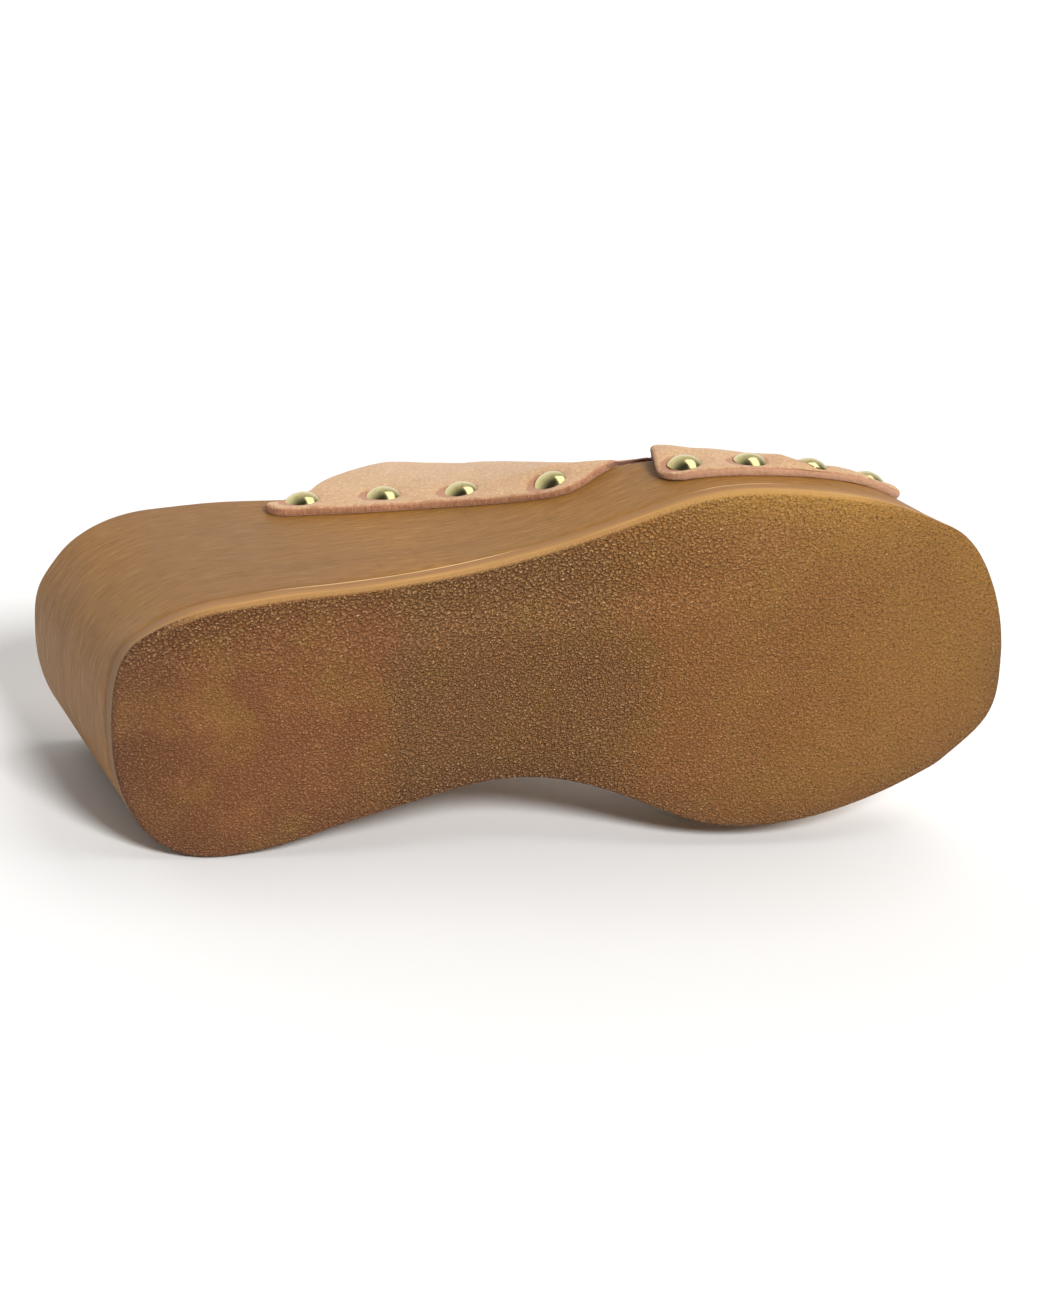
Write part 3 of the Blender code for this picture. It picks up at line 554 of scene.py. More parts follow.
def pebbled_rubber():
    """Crepe-like rubber: coarse glinting beads at heel and waist, worn smoother under the ball and toe; painted
    highlights on the bead tops, painted shade in their hollows, and painted light and shade along the edges.
    """
    m = Nodes("pebbled_rubber")
    uv = m.surface()
    axes = m.add("ShaderNodeSeparateXYZ", Vector=uv)
    x, y = axes.outputs["X"], axes.outputs["Y"]
    shade = m.add("ShaderNodeAttribute", {"attribute_name": "shade"}).outputs["Fac"]
    cloud = m.noise(m.scaled(uv, (30, 30, 1)), 1.0, 3.0, 0.6)
    hue = m.noise(m.scaled(uv, (48, 48, 1)), 1.0, 3.0, 0.6)
    speck = m.noise(m.scaled(uv, (1100, 1300, 1)), 1.0, 3.0, 0.6)
    wave = m.add("ShaderNodeVectorMath", {"operation": "MULTIPLY_ADD"})
    m.set(wave, "0", m.add("ShaderNodeTexNoise", Vector=m.scaled(uv, (800, 800, 1)), Scale=1.0, Detail=1.0).outputs["Color"])
    wave.inputs[1].default_value = (0.0011, 0.0011, 0)
    m.set(wave, "2", uv)
    apart = m.add("ShaderNodeTexVoronoi", {"voronoi_dimensions": "2D"}, Vector=m.scaled(wave.outputs["Vector"], (1280, 1600, 1)), Scale=1.0).outputs["Distance"]
    close_by = m.add("ShaderNodeTexVoronoi", {"voronoi_dimensions": "2D"}, Vector=m.scaled(wave.outputs["Vector"], (1020, 1280, 1)), Scale=1.0).outputs["Distance"]
    # the hollow waist never rubs on the floor, so its beads stay sharper, with deeper painted shade between them and
    # brighter painted highlights on them
    wander = m.math("MULTIPLY", m.math("SUBTRACT", m.noise(m.scaled(uv, (45, 45, 1)), 1.0, 2.0), 0.5), 0.008)
    xw = m.math("ADD", x, wander)
    front = m.math("ADD", xw, m.math("MULTIPLY", m.math("MULTIPLY", y, y), 9.0))
    waist = m.math("MULTIPLY", m.span(xw, 0.071, 0.081, kind="SMOOTHSTEP"), m.span(front, 0.132, 0.158, 1.0, 0.0, kind="SMOOTHSTEP"))
    rubbed = m.add("ShaderNodeAttribute", {"attribute_name": "rubbed"}).outputs["Fac"]
    outer = m.math("MULTIPLY", m.span(y, -0.008, -0.034), m.span(xw, 0.23, 0.15))
    # the back of the heel is worn flatter than the outer edge
    flatter = m.math("MULTIPLY", m.span(xw, 0.08, 0.03), m.span(y, -0.032, -0.01))
    fresh = m.math("MULTIPLY", m.span(rubbed, 0.15, 0.85, 1.0, 0.0), m.span(flatter, 0.0, 1.0, 1.0, 0.55))
    sharp = m.math("MULTIPLY", fresh, m.math("ADD", m.math("ADD", m.span(front, 0.14, 0.225, 0.46, 0.29), m.math("MULTIPLY", waist, 0.28)), m.math("MULTIPLY", outer, 0.25)))
    bead = m.span(m.blend(outer, apart, close_by), 0.78, 0.0, kind="SMOOTHSTEP")
    glint = m.math("MULTIPLY", fresh, m.math("ADD", m.math("ADD", m.span(front, 0.15, 0.235, 0.62, 0.3), m.math("MULTIPLY", waist, 0.3)), m.math("MULTIPLY", outer, 0.3)))
    along = m.ramp(
        m.span(x, 0.0, 0.256),
        [(0.0, srgb(100, 60, 34)), (0.2, srgb(123, 76, 43)), (0.3, srgb(128, 81, 46)), (0.5, srgb(140, 90, 46)), (0.62, srgb(138, 90, 45)), (0.8, srgb(140, 95, 43)), (1.0, srgb(146, 104, 47))],
    )
    toned = m.mix(m.math("MULTIPLY", waist, 0.4), along, srgb(134, 99, 64))
    clouded = m.mix(m.span(cloud, 0.42, 0.72, 0.0, 0.35), toned, srgb(122, 76, 42))
    golden = m.mix(m.span(hue, 0.48, 0.68, 0.0, 0.4), clouded, srgb(144, 108, 48))
    ruddy = m.mix(m.span(m.noise(m.scaled(uv, (62, 62, 1)), 1.0, 2.0, 0.5), 0.5, 0.7, 0.0, 0.3), golden, srgb(152, 100, 58))
    # painted shade along the inner and heel edges and painted light along the outer edge, read from the shade mark
    painted_edge_shade = m.mix(m.span(shade, 0.0, -1.0, 0.0, 0.6), ruddy, srgb(92, 60, 44))
    painted_edge_light = m.mix(m.span(shade, 0.0, 1.0, 0.0, 0.85), painted_edge_shade, srgb(182, 136, 64))
    worn = m.mix(m.math("MULTIPLY", rubbed, 0.65), painted_edge_light, srgb(180, 138, 84))
    # painted shade in the hollows between the beads and in the fine pits
    hollow_shade = m.mix(m.math("MULTIPLY", m.span(bead, 0.4, 0.0), m.math("MULTIPLY", sharp, 0.5)), worn, srgb(78, 49, 28))
    pit_shade = m.mix(m.math("MULTIPLY", m.math("MULTIPLY", fresh, m.span(front, 0.16, 0.23, 0.55, 0.8)), m.span(speck, 0.53, 0.68)), hollow_shade, srgb(88, 56, 30))
    # painted highlights: the bead tops are lightened, and fine pale glints are painted on them
    crest_highlight = m.math("MULTIPLY", m.span(bead, 0.35, 0.9), m.math("MULTIPLY", glint, m.span(speck, 0.62, 0.35)))
    crest_highlights = m.mix(m.math("MULTIPLY", crest_highlight, 0.85), pit_shade, srgb(200, 156, 106))
    glint_spots = m.span(m.noise(m.scaled(uv, (1500, 2300, 1)), 1.0, 1.0, 0.5), 0.63, 0.74)
    painted_glints = m.mix(m.math("MULTIPLY", glint_spots, m.math("MULTIPLY", m.span(bead, 0.2, 0.7), glint)), crest_highlights, srgb(226, 190, 150))
    height = m.math("SUBTRACT", m.math("MULTIPLY", bead, sharp), m.math("MULTIPLY", speck, 0.4))
    return m.done(
        Base_Color=painted_glints,
        Roughness=m.span(m.math("MULTIPLY", bead, sharp), 0.1, 0.9, 0.6, 0.36),
        Specular_IOR_Level=0.16,
        Normal=m.bump(height, 1.0, 0.0013),
    )


def amber_edge():
    m = Nodes("amber_rubber_edge")
    uv = m.surface()
    up = m.add("ShaderNodeSeparateXYZ", Vector=uv).outputs["Y"]
    streak = m.noise(m.scaled(uv, (50, 1100, 1)), 1.0, 3.0, 0.6)
    band = m.ramp(
        m.span(up, 0.0, 0.0063),
        [(0.0, srgb(172, 128, 70)), (0.12, srgb(190, 144, 82)), (0.3, srgb(182, 135, 74)), (0.46, srgb(162, 118, 66)), (0.7, srgb(150, 108, 62)), (1.0, srgb(146, 104, 60))],
    )
    colour = m.mix(m.span(streak, 0.4, 0.7, 0.0, 0.4), band, srgb(130, 90, 52))
    shade = m.add("ShaderNodeAttribute", {"attribute_name": "shade"}).outputs["Fac"]
    # painted shade: the band is darkened along the inner and heel edges
    shaded_band = m.mix(m.span(shade, 0.0, -0.8, 0.0, 0.75), colour, srgb(124, 92, 60))
    glue = m.add("ShaderNodeAttribute", {"attribute_name": "seam"}).outputs["Fac"]
    line = m.math("MULTIPLY", m.span(up, 0.0056, 0.0059), m.math("MULTIPLY", glue, m.span(streak, 0.3, 0.5, 0.7, 1.0)))
    seam = m.mix(line, shaded_band, srgb(214, 178, 130))
    return m.done(Base_Color=seam, Roughness=m.span(streak, 0.3, 0.7, 0.52, 0.66), Specular_IOR_Level=0.2, Normal=m.bump(streak, 0.15, 0.0005))


def suede():
    """Suede face of the straps; its fibres darken and redden where they fray at the cut edge, and painted shadow
    darkens a pocket beside each tack.
    """
    m = Nodes("peach_suede")
    place = m.place()
    edge = m.add("ShaderNodeAttribute", {"attribute_name": "edge"}).outputs["Fac"]
    patches = m.noise(place, 70.0, 4.0, 0.55)
    nap = m.noise(place, 1100.0, 4.0, 0.7)
    fibre = m.noise(place, 3200.0, 2.0, 0.7)
    base = m.ramp(patches, [(0.3, srgb(190, 154, 116)), (0.52, srgb(198, 163, 125)), (0.72, srgb(191, 154, 117))])
    napped = m.mix(m.span(nap, 0.42, 0.7, 0.0, 0.6), base, srgb(166, 120, 88))
    fluffed = m.mix(m.span(nap, 0.45, 0.3, 0.0, 0.5), napped, srgb(226, 190, 152))
    # the edge mark also carries the painted shadow beside each tack
    ragged = m.math("ADD", edge, m.span(m.noise(place, 900.0, 3.0, 0.6), 0.3, 0.7, -0.5, 0.5))
    colour = m.mix(m.span(ragged, 0.15, 0.75, 0.85, 0.0), fluffed, srgb(168, 118, 92))
    height = m.math("ADD", m.math("MULTIPLY", nap, 0.7), m.math("MULTIPLY", fibre, 0.5))
    return m.done(
        Base_Color=colour,
        Roughness=0.95,
        Specular_IOR_Level=0.1,
        Sheen_Weight=0.15,
        Sheen_Roughness=0.5,
        Normal=m.bump(height, 0.55, 0.0004),
    )


def cut_edge():
    """Raw edge of the strap: loose reddish fibres standing across the thickness, and a pale lining at the bottom;
    painted shadow darkens it at one end.
    """
    m = Nodes("raw_suede_edge")
    uv = m.surface()
    through = m.add("ShaderNodeSeparateXYZ", Vector=uv).outputs["Y"]
    fibre = m.noise(m.scaled(uv, (2600, 420, 1)), 1.0, 3.0, 0.7)
    clump = m.noise(m.scaled(uv, (520, 300, 1)), 1.0, 3.0, 0.6)
    base = m.ramp(fibre, [(0.25, srgb(118, 76, 53)), (0.5, srgb(166, 116, 84)), (0.75, srgb(194, 148, 112))])
    browned = m.mix(m.span(clump, 0.45, 0.7, 0.0, 0.5), base, srgb(128, 80, 56))
    fore = m.span(m.add("ShaderNodeSeparateXYZ", Vector=m.place()).outputs["X"], 0.012, 0.036)
    tufted = m.mix(m.math("MULTIPLY", fore, 0.45), browned, srgb(214, 172, 140))
    lining = m.span(through, 0.0002, 0.0004, 1.0, 0.0)
    lined = m.mix(m.math("MULTIPLY", lining, 0.8), tufted, srgb(222, 176, 146))
    # painted shadow on the cut edge where it lies in shade
    end_shadow = m.add("ShaderNodeAttribute", {"attribute_name": "edge"}).outputs["Fac"]
    colour = m.mix(m.span(end_shadow, 0.0, -0.8, 0.0, 0.85), lined, srgb(80, 46, 38))
    return m.done(Base_Color=colour, Roughness=0.98, Specular_IOR_Level=0.1, Sheen_Weight=0.2, Sheen_Roughness=0.6, Normal=m.bump(m.math("ADD", fibre, clump), 0.7, 0.0005))


def lining_leather():
    m = Nodes("strap_lining")
    place = m.place()
    grain = m.add("ShaderNodeTexVoronoi", Vector=place, Scale=1100.0).outputs["Distance"]
    tone = m.noise(place, 70.0, 3.0)
    colour = m.ramp(tone, [(0.3, srgb(196, 146, 112)), (0.6, srgb(214, 166, 130)), (0.8, srgb(188, 138, 104))])
    return m.done(Base_Color=colour, Roughness=0.7, Normal=m.bump(grain, 0.3, 0.0002))


def sock_leather():
    m = Nodes("tan_insole")
    place = m.place()
    grain = m.add("ShaderNodeTexVoronoi", Vector=place, Scale=1300.0).outputs["Distance"]
    tone = m.noise(place, 45.0, 4.0, 0.6)
    colour = m.ramp(tone, [(0.25, srgb(168, 118, 78)), (0.55, srgb(188, 138, 96)), (0.8, srgb(160, 110, 72))])
    return m.done(Base_Color=colour, Roughness=m.span(tone, 0.3, 0.7, 0.5, 0.64), Normal=m.bump(grain, 0.35, 0.0002))


def brass():
    m = Nodes("antique_brass")
    place = m.place()
    tarnish = m.noise(place, 420.0, 4.0, 0.6)
    scratch = m.noise(m.scaled(place, (2200, 300, 900)), 1.0, 2.0, 0.6)
    colour = m.ramp(tarnish, [(0.3, srgb(172, 160, 108)), (0.55, srgb(186, 175, 126)), (0.8, srgb(156, 142, 92))])
    return m.done(Base_Color=colour, Metallic=1.0, Roughness=m.span(tarnish, 0.3, 0.75, 0.14, 0.24), Normal=m.bump(scratch, 0.05, 0.0001))


def pale_floor():
    m = Nodes("pale_floor")
    haze = m.noise(m.place(), 3.0, 2.0)
    colour = m.ramp(haze, [(0.3, (0.77, 0.77, 0.765)), (0.7, (0.79, 0.79, 0.785))])
    return m.done(Base_Color=colour, Roughness=0.9, Specular_IOR_Level=0.1)


# ---------------------------------------------------------------- outsole
def edge_distance(points):
    """Distance of plan points from the sole's edge."""
    loop = edge_loop(400, 130)[0]
    tree = kdtree.KDTree(len(loop))
    for k, (x, y) in enumerate(loop):
        tree.insert((x, y, 0.0), k)
    tree.balance()
    return np.array([tree.find((x, y, 0.0))[2] for x, y in points])


def grains(plan):
    """How high the rubber's grain stands at plan points, 0 to 1."""
    turned = plan @ np.array([[0.94, -0.34], [0.34, 0.94]])
    coarse, finer = cells(turned, 1.25, 3.0, (1.12, 0.92)), cells(turned, 0.95, 8.0)
    return np.where(plan[:, 0] < 150, coarse, 0.5 * coarse + 0.5 * finer)


def tread_marks(points):
    """Painted shade along the inner and heel edges (down to -1) or painted light along the outer edge (up to 1); where
    glue shows at the seam; where the outer edge is rubbed smooth.
    """
    plan = points.reshape(-1, 3)[:, :2]
    far = edge_distance(plan)
    edge_shade = np.exp(-far / 7) * np.clip(smooth((plan[:, 1] + 14) / 26) + smooth(1 - plan[:, 0] / 34), 0, 1)
    edge_light = np.exp(-far / 8) * smooth((-plan[:, 1] - 8) / 22) * smooth((plan[:, 0] - 120) / 60) * (1 - 0.8 * smooth((plan[:, 0] - 200) / 35))
    seam = smooth((plan[:, 0] - 36) / 22) * (1 - smooth((plan[:, 0] - 98) / 20))
    seam = (seam + 0.55 * smooth((plan[:, 0] - 156) / 8) * (1 - smooth((plan[:, 0] - 178) / 12))) * (plan[:, 1] < 0)
    rubbed = (1 - smooth((far - 0.2) / 1.3)) * smooth((-plan[:, 1] - 4) / 14) * smooth((plan[:, 0] - 6) / 24) * (1 - smooth((plan[:, 0] - 195) / 30))
    return edge_light - edge_shade, seam, rubbed


def make_outsole():
    along, across = 480, 160
    loop, out, s, total = edge_loop(along, across)
    s = np.mod(s - 0.62 * total, total)
    foot = tread_height(np.clip(loop[:, 0], 0, SOLE_LENGTH))
    uneven = 0.05 * ripple(np.stack([s, 0 * s], -1), 26.0, 5)
    shape = Shape("shade", "seam", "rubbed")
    # how far out the edge stands, and how high
    profile = [
        (-0.95, 0.05), (-0.5, 0.2), (-0.18, 0.55), (0.0, 1.2), (0.06, 2.4), (0.02, 4.0),
        (-0.05, 5.4), (0.02, 5.8), (0.06, 6.1), (-0.05, 6.3), (-1.5, 6.3),
    ]
    rings, plans = [], []
    around = np.concatenate([[0.0], np.cumsum(np.linalg.norm(np.diff(profile, axis=0), axis=1))])
    for k, (grow, up) in enumerate(profile):
        stand = grow + (uneven if up > 1 else 0.0) + (0.06 * (grains(loop) - 0.5) if k < 3 else 0.0)
        points = raked(np.column_stack([loop + out * (stand + 0 * s)[:, None], foot + up]))
        rings.append(shape.add(points, *tread_marks(points)))
        plans.append(plans[0] + out * around[k] if plans else points[:, :2])
    for k in range(len(rings) - 1):
        if k < 3:  # the pebbles run on over the rounded edge
            shape.flat_wall(rings[k], rings[k + 1], plans[k], plans[k + 1], 0)
        else:
            shape.wall(rings[k], rings[k + 1], s, total, np.full(len(s), profile[k][1]), np.full(len(s), profile[k + 1][1]), 1)

    def tread(p):
        q = p.reshape(-1, 3).copy()
        waist = smooth((q[:, 0] - 60) / 16) * (1 - smooth((q[:, 0] - 128) / 24))
        worn = np.clip(0.75 + 0.25 * ripple(q[:, :2], 30.0, 2), 0.4, 1.1)
        deep = (0.16 + 0.08 * waist - 0.06 * smooth((q[:, 0] - 140) / 30)) * worn
        q[:, 2] = tread_height(np.clip(q[:, 0], 0, SOLE_LENGTH)) + 0.02 + deep * (1 - grains(q[:, :2]))
        q[:, 2] = np.maximum(0.0, q[:, 2] + 0.05 * ripple(q[:, :2], 14.0, 9))
        return q.reshape(p.shape)

    shape.cap(rings[0], along, across, tread, 0, False, tread_marks)
    shape.lid(rings[-1], 1)
    return shape.object("outsole_rubber", [pebbled_rubber(), amber_edge()])


# ---------------------------------------------------------------- wedge
def make_wedge():
    along, across = 220, 64
    loop, out, s, total = edge_loop(along, across)
    x = np.clip(loop[:, 0], 0, SOLE_LENGTH)
    s = np.mod(s - 0.62 * total, total)
    foot = tread_height(x) + OUTSOLE_THICKNESS + GAP
    spring_line = rim(x) - shoulder(x)
    shape = Shape()
    rings, heights = [shape.add(raked(np.column_stack([loop - out * 1.6, foot])))], [foot - 1.6]
    for share in np.concatenate([[0.0, 0.008, 0.02], np.linspace(0.05, 1, 24)]):
        z = foot + (spring_line - foot) * share
        eased = 0.3 * np.exp(-(((z - foot) / 0.5) ** 2))  # the wood's lower edge is broken
        rings.append(shape.add(raked(np.column_stack([loop - out * eased[:, None], z]))))
        heights.append(z)
    for turn in np.linspace(0, math.pi / 2, 12)[1:]:
        z = spring_line + shoulder(x) * math.sin(turn)
        inset = SHOULDER_INSET * shoulder(x) * (1 - math.cos(turn))
        rings.append(shape.add(raked(np.column_stack([loop - out * inset[:, None], z]))))
        heights.append(z + inset)
    for k in range(len(rings) - 1):
        shape.wall(rings[k], rings[k + 1], s, total, heights[k], heights[k + 1], 0)

    def dished(p):
        q = p.reshape(-1, 3).copy()
        q[:, 2] = footbed(q[:, 0] + HEEL_OVERHANG * smooth(1 - q[:, 0] / HEEL_LENGTH), q[:, 1])
        return q.reshape(p.shape)

    shape.cap(rings[-1], along, across, dished, 1, True)
    shape.lid(rings[0], 0)
    return shape.object("wedge_wood", [wood("stained_wood", 0.0003), wood("stained_wood_top", 0.0002)])


# ---------------------------------------------------------------- insole
def make_insole():
    along, across = 180, 48
    loop, out, s, total = edge_loop(along, across)
    shape = Shape()
    under = GAP + 0.2

    def drawn_in(turn_in):
        x, y = np.clip(loop[:, 0], 0, SOLE_LENGTH), loop[:, 1]
        inset = SHOULDER_INSET * shoulder(x) + INSOLE_INSET + turn_in
        share = 1 - inset / np.where(y < skew(x), lateral(x), medial(x))
        length = SOLE_LENGTH - INSOLE_HEEL_GAP - INSOLE_TOE_GAP - 2 * turn_in
        return np.column_stack([INSOLE_HEEL_GAP + turn_in + x / SOLE_LENGTH * length, skew(x) + (y - skew(x)) * share])

    def lean(p):
        q = p.copy()
        q[..., 2] = rim(0.0)
        moved = raked(q)
        moved[..., 2] = p[..., 2]
        return moved

    rings = []
    for up, turn_in in ((under, 0.6), (under, 0.0), (under + 0.9, -0.1), (under + 1.4, 0.1), (under + 1.7, 0.5), (under + 1.8, 1.1)):
        p = drawn_in(turn_in)
        rings.append(shape.add(lean(np.column_stack([p, footbed(p[:, 0], p[:, 1]) + up]))))
    flat = [np.zeros(len(loop))] * len(rings)
    for k in range(len(rings) - 1):
        shape.wall(rings[k], rings[k + 1], s, total, flat[k], flat[k], 0)

    def lies(over):
        def at(p):
            q = p.reshape(-1, 3).copy()
            upright = q[:, 0] + HEEL_OVERHANG * smooth(1 - q[:, 0] / HEEL_LENGTH)
            q[:, 2] = footbed(upright, q[:, 1]) + over
            # a foot has pressed heel and ball a little into it
            for cx, cy, wide, deep in ((36, 0, 20, 0.35), (176, -4, 26, 0.3), (205, 18, 10, 0.25)):
                q[:, 2] -= 0.0 if over < 1 else deep * np.exp(-((q[:, 0] - cx) ** 2 + (q[:, 1] - cy) ** 2) / wide**2)
            return q.reshape(p.shape)

        return at

    shape.cap(rings[-1], along, across, lies(under + INSOLE_THICKNESS), 0, True)
    shape.cap(rings[0], along, across, lies(under), 0, False)
    return shape.object("insole_sock", [sock_leather()])


# ---------------------------------------------------------------- straps
def girth_point(x, girth, clear):
    """Points of the foot's skin, standing clear of it. girth runs from -1 (lower edge, outer side) to +1."""
    x, girth, clear = np.broadcast_arrays(*(np.asarray(v, float) for v in (x, girth, clear)))
    knee = 1 - WALL_SHARE
    base = np.maximum(rim(x) - shoulder(x) + 2.0, low(x) + 4.5)
    z_flat = base + (low(x) - base) * (np.abs(girth) - knee) / WALL_SHARE
    y_flat = np.where(girth < 0, wall_y(x, -1, clear, z_flat), wall_y(x, 1, clear, z_flat))
    outer, inner = wall_y(x, -1, clear, base), wall_y(x, 1, clear, base)
    turn = np.pi / 2 * np.clip(girth / knee, -1, 1)
    power = 2 / fullness(x)
    rise = np.abs(np.cos(turn)) ** power
    spread = np.sign(girth) * np.abs(np.sin(turn)) ** power * (1 - lean(x) * rise)
    y = (outer + inner) / 2 + (inner - outer) / 2 * spread
    z = base + (rim(x) + crown(x) + clear - base) * rise
    flat = np.abs(girth) >= knee
    y = np.where(flat, y_flat, y) + np.sign(girth) * settling(x, np.abs(girth))
    return np.stack([x, y, np.where(flat, z_flat, z)], -1)


def settling(x, girth):
    """How far the worn straps bulge beyond their even arch at their broad parts, and sink where they cross."""
    bulge = 1.2 * np.exp(-(((x - 130) / 9) ** 2)) * smooth((0.94 - girth) / 0.09)
    bulge = bulge + 1.3 * np.exp(-(((x - 192.5) / 9) ** 2)) * smooth((1 - girth) / 0.1)
    sink = 0.9 * np.exp(-(((x - 148.5) / 4) ** 2)) * smooth((0.88 - girth) / 0.06)
    hug = 0.25 * smooth((x - 208) / 10) * smooth((girth - 0.85) / 0.1)
    return (bulge - sink - hug) * smooth(girth / 0.4)


def strap_edges(folds, girth):
    girths = [fold.girth for fold in folds]
    ends = []
    for name, way in (("rear", 1), ("front", -1)):
        x = monotone(girths, [getattr(f, name) for f in folds])(-np.abs(girth))
        inside = np.clip(STRAP_CORNER - (girth_point(x, girth, 0.0)[:, 2] - low(x)), 0, STRAP_CORNER)
        ends.append(x + way * (STRAP_CORNER - np.sqrt(STRAP_CORNER**2 - inside**2)))
    return ends


def crossing_lift(x, girth):
    over_rear = smooth((CROSS_TO - x) / (CROSS_TO - CROSS_FROM))
    return (STRAP_THICKNESS - STRAP_FUSE) * over_rear * smooth((0.84 - np.abs(girth)) / 0.09)


def flat_lift(x, girth):
    return 0.0 * x


def front_lift(x, girth):
    """The front strap rides over the rear strap, and its free end curls up a little."""
    edge = monotone([f.girth for f in FRONT_STRAP], [f.rear for f in FRONT_STRAP])(-np.abs(girth))
    curl = 1.75 * np.exp(-((np.clip(x - edge, 0, None) / 8) ** 2)) * (0.25 + 0.75 * smooth((0.98 - np.abs(girth)) / 0.1))
    return np.maximum(crossing_lift(x, girth), curl * smooth((np.abs(girth) - 0.3) / 0.3))


def rear_thinning(x, girth):
    """The rear strap is pressed thin where its front edge slips under the front strap."""
    return 1.0 * np.exp(-(((x - 156) / 7) ** 2)) * smooth((0.93 - np.abs(girth)) / 0.07)


def front_thinning(x, girth):
    return 0.0 * x


def stud_seats():
    """Name, centre and outward axis of every stud."""
    seats = []
    for side_name, side in (("outer", -1), ("inner", 1)):
        for strap_name, places, lift, thinning in (("rear", REAR_STUDS_X, flat_lift, rear_thinning), ("front", FRONT_STUDS_X, front_lift, front_thinning)):
            for number, x in enumerate(places, 1):
                girths = np.arange(1.0, 0.4, -0.001)
                heights = girth_point(x, side * girths, SNUG + STRAP_THICKNESS)[:, 2]
                girth = girths[np.argmax(heights >= low(x) + STUD_ABOVE_EDGE + STUD_RAISED[strap_name][number - 1])]
                clear = float(SNUG + lift(np.array(x), np.array(girth)) + STRAP_THICKNESS - thinning(np.array(x), np.array(girth)) - STUD_SUNK[strap_name][number - 1])
                seat = girth_point(x, side * girth, clear)
                ahead = girth_point(x + 0.5, side * girth, clear) - girth_point(x - 0.5, side * girth, clear)
                up = girth_point(x, side * (girth - 0.01), clear) - girth_point(x, side * (girth + 0.01), clear)
                axis = side * np.cross(up, ahead)
                axis = axis / np.linalg.norm(axis) + np.array([STUD_ASKEW[strap_name][number - 1], 0, 0])
                seats.append((f"stud_{side_name}_{strap_name}_{number}", seat, axis / np.linalg.norm(axis)))
    return seats


SEATS = stud_seats()


# where each strap creases as it bends over the foot: place across it, depth and width
REAR_CREASES = [(0.30, 0.22, 2.6), (0.55, 0.30, 3.0), (0.78, 0.20, 2.4)]
FRONT_CREASES = [(0.42, 0.26, 2.8), (0.70, 0.22, 2.4)]


